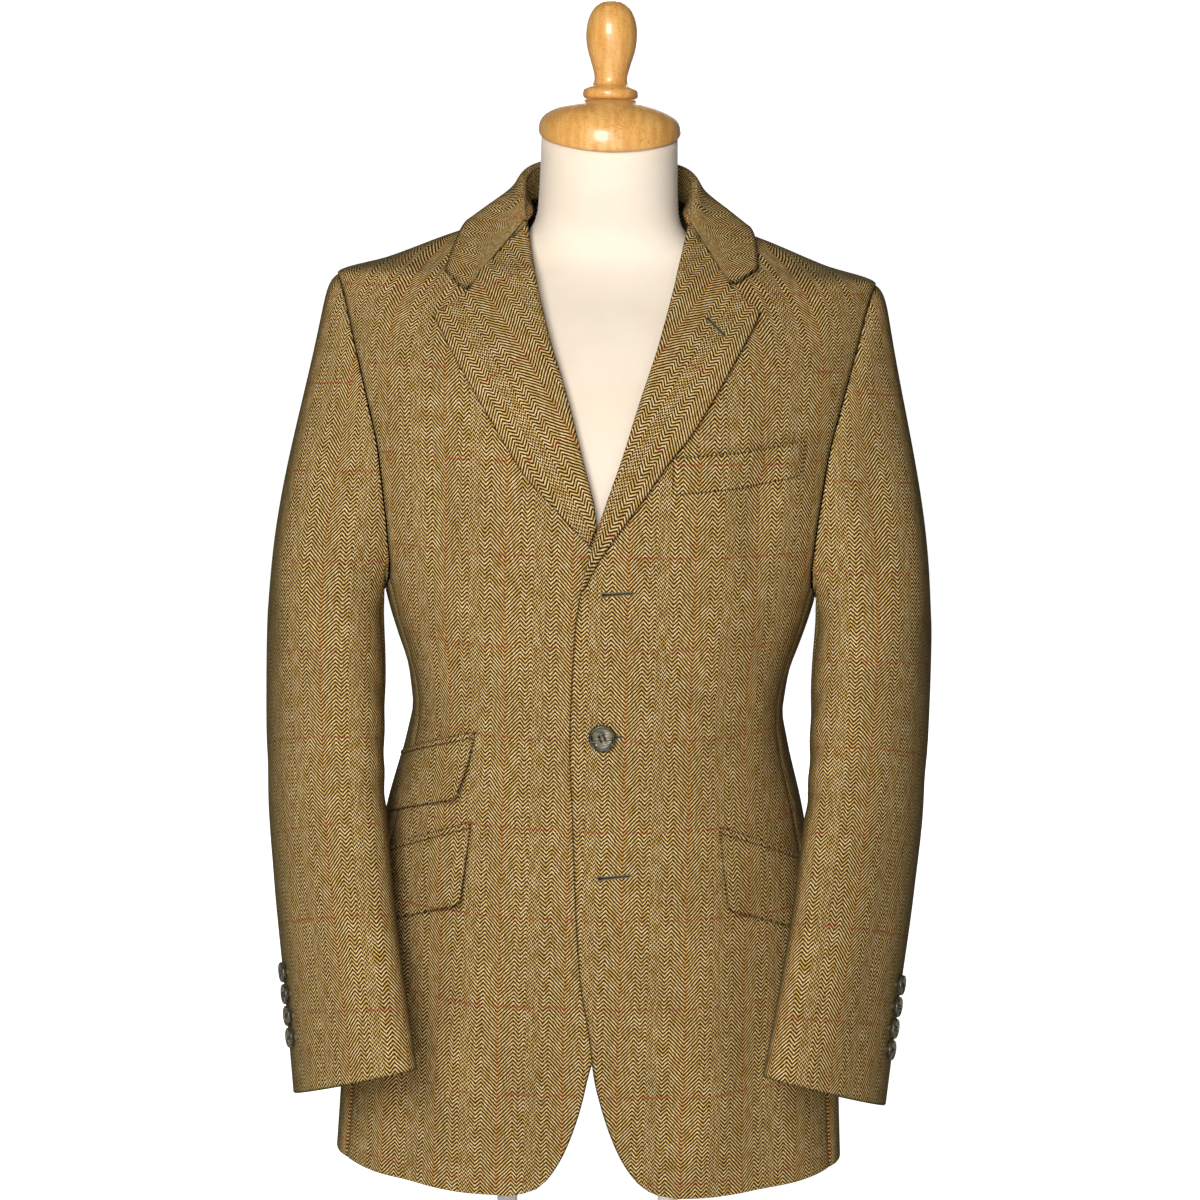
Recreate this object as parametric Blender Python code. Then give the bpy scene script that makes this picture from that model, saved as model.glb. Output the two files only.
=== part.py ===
"""Single-breasted tweed jacket with notched lapels, on a limbless tailor's form.

Metres, +Z up, origin on the floor under the middle of the base plate. The front faces -Y and the
wearer's left is at +X. Cloth is a thin wall on a torso surface made of level rings. A place on that
surface is an angle in degrees, 0 at the front middle, 90 at the wearer's left and 180 at the back
middle, and a height. What lies on a panel is made from the panel's own places, moved out.
"""
import bmesh
import bpy
import numpy as np

# Cloth and fit
WALL = 0.0024
SEAM_GAP = 0.0004
LAY_GAP = 0.0005
RING_POWER = 2.2
FRONT_DIP = 0.0034
DIP_FROM_X = -0.052
DIP_TO_X = -0.026

# Torso surface: level rings, with the depth before and behind each ring's middle line
RING_COLUMNS = ("z", "half_width", "front", "back", "middle_y")
RINGS = (
    (0.130, 0.1995, 0.128, 0.130, 0.000),
    (0.220, 0.1920, 0.128, 0.129, 0.000),
    (0.300, 0.1830, 0.127, 0.126, 0.000),
    (0.405, 0.1610, 0.126, 0.114, 0.000),
    (0.488, 0.1440, 0.125, 0.105, 0.000),
    (0.567, 0.1635, 0.126, 0.111, 0.002),
    (0.620, 0.1780, 0.126, 0.118, 0.004),
    (0.690, 0.1900, 0.120, 0.124, 0.006),
    (0.760, 0.2000, 0.099, 0.121, 0.012),
    (0.800, 0.2045, 0.072, 0.105, 0.017),
    (0.811, 0.2050, 0.063, 0.098, 0.018),
    (0.8235, 0.1670, 0.049, 0.088, 0.020),
    (0.840, 0.1250, 0.033, 0.077, 0.021),
    (0.851, 0.0950, 0.021, 0.070, 0.021),
    (0.866, 0.0660, 0.010, 0.060, 0.020),
)

# Armhole: its front and back edge from the under-arm corner up to the shoulder end
# Columns: z, front_angle, back_angle
ARMHOLE = (
    (0.585, 70.0, 110.0),
    (0.600, 65.0, 114.0),
    (0.640, 61.5, 117.0),
    (0.680, 61.0, 117.5),
    (0.720, 64.0, 115.0),
    (0.763, 69.5, 111.0),
    (0.792, 74.5, 106.0),
    (0.806, 81.0, 99.0),
    (0.811, 90.0, 90.0),
)
PIT_Z = 0.570
HEM_Z = 0.130

# Heights of the rows that neighbouring panels share along their seams
SIDE_HEIGHTS = (
    0.130, 0.171, 0.225, 0.300, 0.350, 0.382, 0.414, 0.438, 0.462, 0.484, 0.505, 0.526, 0.548, 0.585,
)
ARM_HEIGHTS = (0.600, 0.640, 0.680, 0.720, 0.763, 0.792, 0.806, 0.811)
SHOULDER_HEIGHTS = (0.820, 0.832, 0.845, 0.857)
PANEL_COLUMNS = 8
SIDE_COLUMNS = 6

# Front edges: cut-away quarter, straight edge, then the roll line up to the neck
# Columns: z, x
EDGE_LEFT = (
    (0.1300, 0.0680), (0.1340, 0.0500), (0.1490, 0.0330), (0.1710, 0.0205), (0.2020, 0.0094),
    (0.2250, 0.0036), (0.2550, -0.0006), (0.3000, -0.0085), (0.3500, -0.0125), (0.4140, -0.0160),
    (0.4840, -0.0195), (0.5480, -0.0180), (0.5850, -0.0145), (0.6150, -0.0067), (0.6400, 0.0005),
    (0.6870, 0.0160), (0.7225, 0.0267), (0.7715, 0.0426), (0.8200, 0.0555), (0.8570, 0.0640),
)
EDGE_RIGHT = (
    (0.1300, -0.0580), (0.1360, -0.0394), (0.1476, -0.0283), (0.1710, -0.0164), (0.2016, -0.0069),
    (0.2250, -0.0020), (0.2550, 0.0060), (0.3000, 0.0140), (0.4140, 0.0180), (0.5480, 0.0180),
    (0.5850, 0.0140), (0.6100, 0.0060), (0.6300, -0.0030), (0.6547, -0.0080), (0.6865, -0.0170),
    (0.7215, -0.0265), (0.7422, -0.0330), (0.7698, -0.0428), (0.8200, -0.0568), (0.8570, -0.0640),
)

# Lapels: outer edge up to the tip, then the notch edge and the gorge seam up to the collar
# Columns: z, x
LAPEL_LEFT = (
    (0.6180, 0.0040), (0.6350, 0.0098), (0.6480, 0.0170), (0.6646, 0.0308), (0.6869, 0.0484),
    (0.7049, 0.0631), (0.7335, 0.0810), (0.7623, 0.0976), (0.7820, 0.1092), (0.7900, 0.1126),
    (0.8030, 0.1018), (0.8165, 0.0905), (0.8300, 0.0770), (0.8420, 0.0660),
)
LAPEL_RIGHT = (
    (0.6390, -0.0226), (0.6450, -0.0283), (0.6525, -0.0353), (0.6718, -0.0541), (0.7003, -0.0733),
    (0.7297, -0.0927), (0.7578, -0.1106), (0.7770, -0.1224), (0.7820, -0.1260), (0.7940, -0.1140),
    (0.8062, -0.1015), (0.8180, -0.0890), (0.8300, -0.0780), (0.8420, -0.0660),
)
NECK_CUT = 0.0115
NECK_CUT_FROM_Z = 0.806
LAPEL_LIFT = 0.0034
ROLL_LIFT = 0.0068
ROLL_REACH = 0.0026
ROLL_ROUND = 0.0008
ROLL_GROWS_OVER = 0.05
LAPEL_FALL_POWER = 2.2
LAPEL_SHARES = (0.12, 0.30, 0.52, 0.76, 1.0)

# Collar, from the middle of the back round to one front end: edge of the fall, fold and stand
# Columns: edge_angle, edge_z, fold_x, fold_y, fold_z, seat_x, seat_y, seat_z
COLLAR = (
    (180.0, 0.8500, 0.0000, 0.0830, 0.9010, 0.0000, 0.0770, 0.8665),
    (138.0, 0.8510, 0.0425, 0.0700, 0.8985, 0.0400, 0.0660, 0.8670),
    (94.0, 0.8500, 0.0610, 0.0370, 0.8885, 0.0575, 0.0350, 0.8680),
    (68.0, 0.8430, 0.0620, 0.0060, 0.8680, 0.0570, 0.0090, 0.8590),
)
# Ends: tip_x, tip_z, notch_x, notch_z, gorge_x, gorge_z, fold_x, fold_z
COLLAR_END_LEFT = (0.1105, 0.8275, 0.0920, 0.8184, 0.0786, 0.8326, 0.0610, 0.8490)
COLLAR_END_RIGHT = (-0.1190, 0.8190, -0.1030, 0.8084, -0.0806, 0.8326, -0.0610, 0.8490)
COLLAR_LIFT = 0.0046
FALL_BULGE = 0.0006
FOLD_RADIUS = 0.0038
NECK_AXIS_Y = 0.030
NECK_AXIS_DROP = 0.02
FALL_SHARES = (0.36, 0.70)
END_STAND = 0.005
COLLAR_COLUMNS = 17

# Sleeves: rings from the top of the arm to the cuff, long axis turned from back towards outside
SLEEVE_COLUMNS = ("z", "x", "y", "long_half", "short_half", "turn", "drop")
SLEEVE = (
    (0.550, 0.2100, -0.012, 0.0730, 0.0430, 72.0, 0.000),
    (0.520, 0.2092, -0.018, 0.0720, 0.0425, 68.0, 0.003),
    (0.447, 0.2074, -0.038, 0.0710, 0.0385, 61.0, 0.008),
    (0.360, 0.1975, -0.076, 0.0690, 0.0350, 57.0, 0.016),
    (0.290, 0.1870, -0.100, 0.0670, 0.0320, 53.0, 0.022),
    (0.218, 0.1760, -0.122, 0.0655, 0.0300, 48.0, 0.025),
)
CAP_STEPS = (0.0, 0.04, 0.12, 0.28, 0.48, 0.70, 0.88, 1.0)
TUBE_STEPS = (1.08, 1.22, 1.38, 1.54, 1.70, 1.85, 2.0)
HEAD_PUFF = 0.0075
HEAD_RISE = 0.03
PUFF_AT_PIT = 0.45
HEAD_INSET = 0.0014
HINDARM = 25.0
FOREARM = 232.0
SLEEVE_GAP_DEGREES = 0.40
UPPER_COLUMNS = 14
UNDER_COLUMNS = 13

# Pockets: the top line of each flap from its front end to its rear end, and its height
# Flaps: front_angle, front_z, rear_angle, rear_z, height, lean of the short edges
FLAP_HIP = (33.0, 0.4095, 84.0, 0.3605, 0.056, 1.2)
FLAP_TICKET = (36.5, 0.4770, 82.0, 0.4440, 0.046, 1.2)
FLAP_LIFT = 0.0040
FLAP_SPREAD = 0.0016
CORNER_SHARE = 0.10
CORNER_CUT = 0.20
JET_HEIGHT = 0.0048
JET_WALL = 0.0015
JET_LIFT = 0.0032
# Welt: x and top_z along its top edge
WELT = ((0.0513, 0.6875), (0.0993, 0.6915), (0.1460, 0.6990))
WELT_HEIGHT = 0.0245
WELT_LIFT = 0.0034
WELT_WALL = 0.0022

# Buttons
FRONT_BUTTON = (0.0036, 0.4842)
FRONT_BUTTON_RADIUS = 0.0100
FRONT_BUTTON_THICK = 0.0042
CUFF_BUTTON_RADIUS = 0.0077
CUFF_BUTTON_THICK = 0.0036
CUFF_BUTTON_TURN = 58.0
CUFF_BUTTON_FIRST = 0.041
CUFF_BUTTON_PITCH = 0.0163
CUFF_BUTTON_COUNT = 4
BUTTON_STAND_OFF = 0.0006
FRONT_BUTTON_SEGMENTS = 20
CUFF_BUTTON_SEGMENTS = 12

# Back: centre seam, with a single vent that hangs a little open
VENT_TOP_Z = 0.350
VENT_HALF_OPEN = 0.0130
NECK_BACK_Z = 0.864

# Tailor's form: covered torso and neck, turned beech cap and finial, two dowels and a base
FORM_RINGS = (
    (0.275, 0.1740, 0.1160, 0.1150, 0.000),
    (0.300, 0.1710, 0.1160, 0.1140, 0.000),
    (0.405, 0.1490, 0.1150, 0.1020, 0.000),
    (0.488, 0.1320, 0.1140, 0.0930, 0.000),
    (0.567, 0.1480, 0.1150, 0.0990, 0.002),
    (0.620, 0.1600, 0.1150, 0.1060, 0.004),
    (0.690, 0.1700, 0.1080, 0.1120, 0.006),
    (0.740, 0.1760, 0.0940, 0.1100, 0.010),
    (0.780, 0.1760, 0.0720, 0.0980, 0.014),
    (0.800, 0.1660, 0.0560, 0.0850, 0.017),
    (0.815, 0.1420, 0.0440, 0.0760, 0.018),
    (0.828, 0.0960, 0.0370, 0.0640, 0.019),
    (0.842, 0.0620, 0.0370, 0.0530, 0.018),
    (0.860, 0.0535, 0.0420, 0.0460, 0.016),
    (0.885, 0.0520, 0.0460, 0.0470, 0.012),
    (0.9175, 0.0512, 0.0470, 0.0480, 0.010),
)
FORM_SEGMENTS = 28
NECK_TOP_TILT = 0.24
NECK_TILT_FROM_Z = 0.842
CAP_MIDDLE_Y = 0.010
CAP_BASE_Z = 0.9180
CAP_PROFILE = (
    (0.0520, 0.0000), (0.0535, 0.0040), (0.0525, 0.0095),
    (0.0465, 0.0160), (0.0360, 0.0215), (0.0220, 0.0252),
)
CAP_TOP = (0.0180, 0.0262)
RIM_SLOPE_POWER = 1.5
CAP_SEGMENTS = 28
FINIAL_SEGMENTS = 20
FINIAL_BASE_Z = 0.9446
FINIAL_PROFILE = (
    (0.0195, 0.0000), (0.0205, 0.0035), (0.0190, 0.0080), (0.0130, 0.0115), (0.0120, 0.0165),
    (0.0165, 0.0300), (0.0192, 0.0435), (0.0170, 0.0590), (0.0110, 0.0680), (0.0050, 0.0722),
)
LEG_X = 0.064
LEG_RADIUS = 0.0080
LEG_SEGMENTS = 16
BASE_SIZE = (0.380, 0.260, 0.016)
BASE_BEVEL = 0.004
PART_GAP = 0.0003

FINISHES = {
    "tweed": ((0.314, 0.205, 0.080), 0.90),
    "horn": ((0.110, 0.105, 0.075), 0.35),
    "cover": ((0.900, 0.830, 0.700), 0.85),
    "beech": ((0.700, 0.390, 0.130), 0.40),
    "painted_wood": ((0.820, 0.800, 0.760), 0.50),
}


def clear_scene():
    for old in list(bpy.data.objects):
        bpy.data.objects.remove(old, do_unlink=True)


def finish(name):
    """A plain Principled material of a named finish."""
    colour, roughness = FINISHES[name]
    material = bpy.data.materials.get(name) or bpy.data.materials.new(name)
    material.use_nodes = True
    shader = material.node_tree.nodes["Principled BSDF"]
    shader.inputs["Base Color"].default_value = (*colour, 1.0)
    shader.inputs["Roughness"].default_value = roughness
    shader.inputs["Metallic"].default_value = 0.0
    return material


def smooth(rows, column, at):
    """Read one column of a table by its first column, along a smooth curve that never overshoots."""
    keys = [row[0] for row in rows]
    values = [row[column] for row in rows]
    at = min(max(at, keys[0]), keys[-1])
    spans = np.diff(keys)
    rises = np.diff(values) / spans
    slopes = [rises[0]]
    for before, after in zip(rises[:-1], rises[1:]):
        slopes.append(2 * before * after / (before + after) if before * after > 0 else 0.0)
    slopes.append(rises[-1])
    k = min(int(np.searchsorted(keys, at, side="right")) - 1, len(spans) - 1)
    t = (at - keys[k]) / spans[k]
    start = (1 + 2 * t) * values[k] + t * spans[k] * slopes[k]
    end = (3 - 2 * t) * values[k + 1] + (t - 1) * spans[k] * slopes[k + 1]
    return (1 - t) ** 2 * start + t ** 2 * end


def straight(rows, at):
    """Read an outline table of height and x, with straight lines and sharp corners."""
    return float(np.interp(at, [row[0] for row in rows], [row[1] for row in rows]))


def spline(points, t):
    """A point on the smooth curve that passes through a list of points, one per whole number."""
    last = len(points) - 1
    k = min(int(t), last - 1)
    f = t - k
    a, b = points[k], points[k + 1]
    before = points[k - 1] if k else 2 * a - b
    after = points[k + 2] if k + 2 <= last else 2 * b - a
    return 0.5 * (2 * a + (b - before) * f + (2 * before - 5 * a + 4 * b - after) * f ** 2
                  + (3 * a - before - 3 * b + after) * f ** 3)


def unit(vector):
    return vector / np.linalg.norm(vector)


def ring_point(rows, angle, z):
    """A point of a stack of level rings."""
    half_width, front, back, middle_y = (smooth(rows, column, z) for column in range(1, len(RING_COLUMNS)))
    turn = np.radians(angle)
    across = np.sign(np.sin(turn)) * abs(np.sin(turn)) ** (2 / RING_POWER)
    along = np.sign(np.cos(turn)) * abs(np.cos(turn)) ** (2 / RING_POWER)
    depth = front if along > 0 else back
    return np.array([half_width * across, middle_y - depth * along, z])


def torso_normal(angle, z):
    """Outward direction of the torso surface."""
    turn_step, rise_step = 0.5, 0.0015
    round_the_body = ring_point(RINGS, angle + turn_step, z) - ring_point(RINGS, angle - turn_step, z)
    up = ring_point(RINGS, angle, z + rise_step) - ring_point(RINGS, angle, z - rise_step)
    return unit(np.cross(round_the_body, up))


def on_torso(angle, z, lift=0.0):
    """A point of the torso surface, moved out by lift."""
    return ring_point(RINGS, angle, z) + lift * torso_normal(angle, z)


def front_angle(x, z):
    """Angle of the front surface's point at a given x and height."""
    share = min(abs(x) / smooth(RINGS, 1, z), 1.0)
    return float(np.sign(x) * np.degrees(np.arcsin(share ** (RING_POWER / 2))))


def seam_turn(angle, z, width):
    """The angle that covers a given width on the surface."""
    step = 0.5
    run = np.linalg.norm(ring_point(RINGS, angle + step, z) - ring_point(RINGS, angle - step, z))
    return width * 2 * step / run


def spread(start, end, count):
    return [start + (end - start) * k / (count - 1) for k in range(count)]


def add_mesh(name, points, faces, finish_name):
    """One closed mesh object, with its faces turned outwards and shaded smooth but for its edges."""
    mesh = bpy.data.meshes.new(name)
    mesh.from_pydata([tuple(point) for point in points], [], faces)
    work = bmesh.new()
    work.from_mesh(mesh)
    bmesh.ops.recalc_face_normals(work, faces=work.faces)
    work.to_mesh(mesh)
    work.free()
    mesh.shade_smooth()
    mesh.set_sharp_from_angle(angle=np.radians(40))
    mesh.materials.append(finish(finish_name))
    piece = bpy.data.objects.new(name, mesh)
    bpy.context.scene.collection.objects.link(piece)
    return piece


def shell(name, outer, inner, finish_name="tweed"):
    """Close an outer and an inner grid of points into one wall."""
    rows, columns = len(outer), len(outer[0])
    points = [point for row in outer for point in row] + [point for row in inner for point in row]
    half = rows * columns
    faces = []
    for r in range(rows - 1):
        for c in range(columns - 1):
            corner = r * columns + c
            face = (corner, corner + 1, corner + columns + 1, corner + columns)
            faces.append(face)
            faces.append(tuple(half + k for k in reversed(face)))
    rim = [c for c in range(columns)]
    rim += [r * columns + columns - 1 for r in range(1, rows)]
    rim += [(rows - 1) * columns + c for c in range(columns - 2, -1, -1)]
    rim += [r * columns for r in range(rows - 2, 0, -1)]
    for a, b in zip(rim, rim[1:] + rim[:1]):
        faces.append((b, a, half + a, half + b))
    return add_mesh(name, points, faces, finish_name)


def torso_shell(name, grid, wall=WALL):
    """A wall from a grid of (angle, z, lift) places; lift is that of the wall's outer face."""
    outer = [[on_torso(*place) for place in row] for row in grid]
    inner = [[on_torso(angle, z, lift - wall) for angle, z, lift in row] for row in grid]
    return shell(name, outer, inner)


def surface_shell(name, surface, us, vs, outward):
    """A wall under a surface(u, v); outward is the sign of the cross product that points out."""
    step = 0.02
    outer, inner = [], []
    for v in vs:
        outer.append([surface(u, v) for u in us])
        row = []
        for u in us:
            along_u = surface(u + step, v) - surface(u - step, v)
            along_v = surface(u, min(v + step, vs[-1])) - surface(u, max(v - step, vs[0]))
            row.append(surface(u, v) - WALL * outward * unit(np.cross(along_u, along_v)))
        inner.append(row)
    return shell(name, outer, inner)


def side_name(side):
    return "left" if side > 0 else "right"


def armhole_angle(column, z):
    """Angle of the side seam, the armhole edge above it, and the shoulder seam at the top."""
    return smooth(ARMHOLE, column, z)


def front_dip(side, angle, z):
    """The right front sinks behind the left one where they lap."""
    x = ring_point(RINGS, angle, z)[0]
    if side > 0:
        return 0.0
    t = min(max((x - DIP_FROM_X) / (DIP_TO_X - DIP_FROM_X), 0.0), 1.0)
    return -FRONT_DIP * t * t * (3 - 2 * t)


def build_front(side, edge):
    """A front: hem, cut-away quarter, front edge, roll line, shoulder, armhole and side seam."""
    heights = sorted(set([row[0] for row in edge] + list(SIDE_HEIGHTS + ARM_HEIGHTS + SHOULDER_HEIGHTS)))
    grid = []
    for z in heights:
        under_collar = max(0.0, (z - NECK_CUT_FROM_Z) / (heights[-1] - NECK_CUT_FROM_Z))
        inside = front_angle(straight(edge, z) + side * NECK_CUT * under_collar, z)
        seam = side * armhole_angle(1, z)
        outside = seam - side * seam_turn(seam, z, SEAM_GAP / 2)
        places = spread(inside, outside, PANEL_COLUMNS)
        grid.append([(angle, z, front_dip(side, angle, z)) for angle in places])
    torso_shell(f"front_{side_name(side)}", grid)


def build_side(side):
    """A side body under the arm, between the front and the back."""
    low, high = armhole_angle(1, HEM_Z), armhole_angle(2, HEM_Z)
    middle, half = (low + high) / 2, (high - low) / 2
    corner_rise = SIDE_HEIGHTS[-1] - PIT_Z
    grid = []
    for height in SIDE_HEIGHTS:
        share = (height - HEM_Z) / (SIDE_HEIGHTS[-1] - HEM_Z)
        row = []
        for angle in spread(low, high, SIDE_COLUMNS):
            top = PIT_Z + corner_rise * ((angle - middle) / half) ** 2
            z = HEM_Z + (top - HEM_Z) * share
            inset = np.sign(middle - angle) * (abs(angle - middle) == half)
            row.append((side * (angle + inset * seam_turn(angle, z, SEAM_GAP / 2)), z, 0.0))
        grid.append(row)
    torso_shell(f"side_{side_name(side)}", grid)


def build_back(side):
    """A half back, from the side seam, armhole and shoulder to the centre seam and its vent."""
    grid = []
    for z in SIDE_HEIGHTS + ARM_HEIGHTS + SHOULDER_HEIGHTS + (NECK_BACK_Z,):
        seam = armhole_angle(2, z)
        outside = seam + seam_turn(seam, z, SEAM_GAP / 2)
        vent = VENT_HALF_OPEN * max(0.0, (VENT_TOP_Z - z) / (VENT_TOP_Z - HEM_Z))
        inside = 180.0 - seam_turn(180.0, z, SEAM_GAP / 2 + vent)
        grid.append([(side * angle, z, 0.0) for angle in spread(outside, inside, PANEL_COLUMNS)])
    torso_shell(f"back_{side_name(side)}", grid)


def build_lapel(side, edge, outline):
    """A turned-back lapel: it rolls over the front's edge and lies on the chest."""
    heights = [row[0] for row in outline]
    grid = []
    for z in heights:
        outer_x = straight(outline, z) - side * SEAM_GAP * (z > ARMHOLE[-1][0])
        roll_x = straight(edge, z)
        fold_x = roll_x - side * ROLL_REACH
        soft = min((z - heights[0]) / ROLL_GROWS_OVER, 1.0)
        roll = LAPEL_LIFT + (ROLL_LIFT - LAPEL_LIFT) * soft
        row = [(fold_x, WALL + LAY_GAP), (roll_x, 0.5 * (roll + LAPEL_LIFT) + ROLL_ROUND)]
        for share in LAPEL_SHARES:
            lift = LAPEL_LIFT + (roll - LAPEL_LIFT) * (1 - share) ** LAPEL_FALL_POWER
            row.append((roll_x + (outer_x - roll_x) * share, lift))
        places = [(front_angle(x, z), z, lift) for x, lift in row]
        grid.append([(angle, z, lift + front_dip(side, angle, z)) for angle, z, lift in places])
    torso_shell(f"lapel_{side_name(side)}", grid)


def collar_section(edge, quarter, half, fold, seat=None):
    """Control points across the collar: fall, rolled fold and stand, which runs out at the front."""
    up = unit(fold - half)
    axis_point = np.array([0.0, NECK_AXIS_Y, fold[2] - NECK_AXIS_DROP])
    out = fold - axis_point
    out = unit(out - np.dot(out, up) * up)
    fold_out = fold - FOLD_RADIUS * up + FOLD_RADIUS * out
    fold_in = fold - FOLD_RADIUS * up - FOLD_RADIUS * out
    if seat is None:
        seat = fold_in - END_STAND * up
    return np.array([edge, quarter, half, fold_out, fold, fold_in, 0.5 * (fold_in + seat), seat])


def collar_station(row, side):
    """A plain section of the collar, from a row of the table."""
    edge_angle, edge_z, *rest = row
    fold, seat = np.array(rest[:3]), np.array(rest[3:])
    edge = on_torso(edge_angle, edge_z, COLLAR_LIFT)
    bulge = FALL_BULGE * torso_normal(edge_angle, edge_z)
    quarter, half = (edge + (fold - edge) * share + bulge for share in FALL_SHARES)
    mirror = np.array([side, 1.0, 1.0])
    return collar_section(*(point * mirror for point in (edge, quarter, half, fold, seat)))


def collar_end(row):
    """The front end of the collar: its short front edge, the gorge seam and the fold."""
    tip_x, tip_z, notch_x, notch_z, gorge_x, gorge_z, fold_x, fold_z = row
    tip = on_torso(front_angle(tip_x, tip_z), tip_z, COLLAR_LIFT)
    notch = on_torso(front_angle(notch_x, notch_z), notch_z, COLLAR_LIFT)
    gorge = on_torso(front_angle(gorge_x, gorge_z), gorge_z, COLLAR_LIFT)
    fold = on_torso(front_angle(fold_x, fold_z), fold_z, ROLL_LIFT)
    return collar_section(tip, notch, gorge, fold)


def build_collar():
    """The collar in one folded piece, from the right gorge seam round the neck to the left one."""
    right = [collar_end(COLLAR_END_RIGHT)] + [collar_station(row, -1) for row in COLLAR[:0:-1]]
    left = [collar_station(row, 1) for row in COLLAR[1:]] + [collar_end(COLLAR_END_LEFT)]
    stations = right + [collar_station(COLLAR[0], 1)] + left
    last = len(stations) - 1

    def surface(u, v):
        return spline(spline(stations, min(max(u, 0.0), last)), min(max(v, 0.0), len(stations[0]) - 1))

    across = (0.0, 0.6, 1.0, 1.6, 2.2, 3.0, 3.5, 4.0, 4.5, 5.0, 6.0, 7.0)
    surface_shell("collar", surface, spread(0.0, last, COLLAR_COLUMNS), across, -1)


def armhole_point(turn):
    """A point of the armhole: turn 0 behind, 90 at the shoulder end, 180 before, 270 under the arm."""
    top_z, corner_z = ARMHOLE[-1][0], ARMHOLE[0][0]
    z = PIT_Z + (top_z - PIT_Z) * 0.5 * (1 + np.sin(np.radians(turn)))
    before = np.cos(np.radians(turn)) < 0
    if z >= corner_z:
        angle = armhole_angle(1 if before else 2, z)
    else:
        corner = armhole_angle(1 if before else 2, corner_z)
        angle = 90 + (corner - 90) * np.sqrt((z - PIT_Z) / (corner_z - PIT_Z))
    middle = ring_point(RINGS, 90.0, (top_z + PIT_Z) / 2)
    place = ring_point(RINGS, angle, z)
    return place + HEAD_INSET * unit(middle - place), torso_normal(angle, z)


def sleeve_ring(turn, z):
    """A point of a sleeve ring: a flat oval, its long axis from outside back to inside front."""
    x, y, long_half, short_half, axis_turn, drop = (
        smooth(SLEEVE[::-1], column, z) for column in range(1, len(SLEEVE_COLUMNS)))
    a = np.radians(axis_turn)
    e = np.radians(turn)
    long_axis = np.array([np.cos(a), np.sin(a), 0.0]) * long_half * np.cos(e)
    short_axis = np.array([np.sin(a), -np.cos(a), 0.0]) * short_half * np.sin(e)
    return np.array([x, y, z - drop * np.cos(e)]) + long_axis + short_axis


def sleeve_point(turn, step):
    """A point of the left sleeve: step 0 at the armhole, 1 below the arm pit, 2 at the cuff."""
    top_z, cuff_z = SLEEVE[0][0], SLEEVE[-1][0]
    if step >= 1:
        return sleeve_ring(turn, top_z + (cuff_z - top_z) * (step - 1))
    start, out = armhole_point(turn)
    weight = PUFF_AT_PIT + (1 - PUFF_AT_PIT) * max(0.0, np.sin(np.radians(turn)))
    puff = HEAD_PUFF * weight * (1 - np.exp(-max(step, 0.0) / HEAD_RISE)) * (1 - step) ** 2
    return start + (sleeve_ring(turn, top_z) - start) * step + puff * out


def build_sleeve(side):
    """A two-piece sleeve: the upper and the under sleeve, sewn along the back and front of the arm."""
    mirror = np.array([side, 1.0, 1.0])

    def surface(turn, step):
        return sleeve_point(turn, step) * mirror

    steps = CAP_STEPS + TUBE_STEPS
    upper = spread(HINDARM + SLEEVE_GAP_DEGREES, FOREARM - SLEEVE_GAP_DEGREES, UPPER_COLUMNS)
    under = spread(FOREARM + SLEEVE_GAP_DEGREES, HINDARM + 360 - SLEEVE_GAP_DEGREES, UNDER_COLUMNS)
    surface_shell(f"sleeve_upper_{side_name(side)}", surface, upper, steps, side)
    surface_shell(f"sleeve_under_{side_name(side)}", surface, under, steps, side)


def flap_place(flap, side, along, down):
    """Angle and height of a place on a pocket's slanted flap."""
    first_angle, first_z, rear_angle, rear_z, height, lean = flap
    angle = first_angle + (rear_angle - first_angle) * along + lean * down
    return side * angle, first_z + (rear_z - first_z) * along - height * down


def build_flap(name, flap, side):
    """A pocket flap with its lower front corner rounded."""
    shares = (0.0, 0.02, 0.06, CORNER_SHARE, 0.32, 0.5, 0.68, 0.86, 1.0)
    grid = []
    for down in spread(0.0, 1.0, 6):
        row = []
        for along in shares:
            corner = max(0.0, 1 - along / CORNER_SHARE)
            reach = 1 - CORNER_CUT * (1 - np.sqrt(1 - corner ** 2))
            angle, z = flap_place(flap, side, along, down * reach)
            row.append((angle, z, FLAP_LIFT + FLAP_SPREAD * down))
        grid.append(row)
    torso_shell(name, grid)


def build_jet(name, flap, side):
    """The narrow bound strip along the top of a flap."""
    height = flap[4]
    top, bottom = -(JET_HEIGHT + SEAM_GAP) / height, -SEAM_GAP / height
    grid = []
    for down in (top, 0.5 * (top + bottom), bottom):
        places = [flap_place(flap, side, along, down) for along in spread(0.0, 1.0, 9)]
        grid.append([(angle, z, JET_LIFT) for angle, z in places])
    torso_shell(name, grid, JET_WALL)


def build_welt():
    """The breast pocket's welt, a doubled strip sewn on along its lower edge and ends."""
    grid = []
    for share in spread(0.0, 1.0, 4):
        row = []
        for x in spread(WELT[0][0], WELT[-1][0], 9):
            z = straight(WELT, x) - WELT_HEIGHT * share
            row.append((front_angle(x, z), z, WELT_LIFT))
        grid.append(row)
    torso_shell("welt_breast", grid, WELT_WALL)


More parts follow.
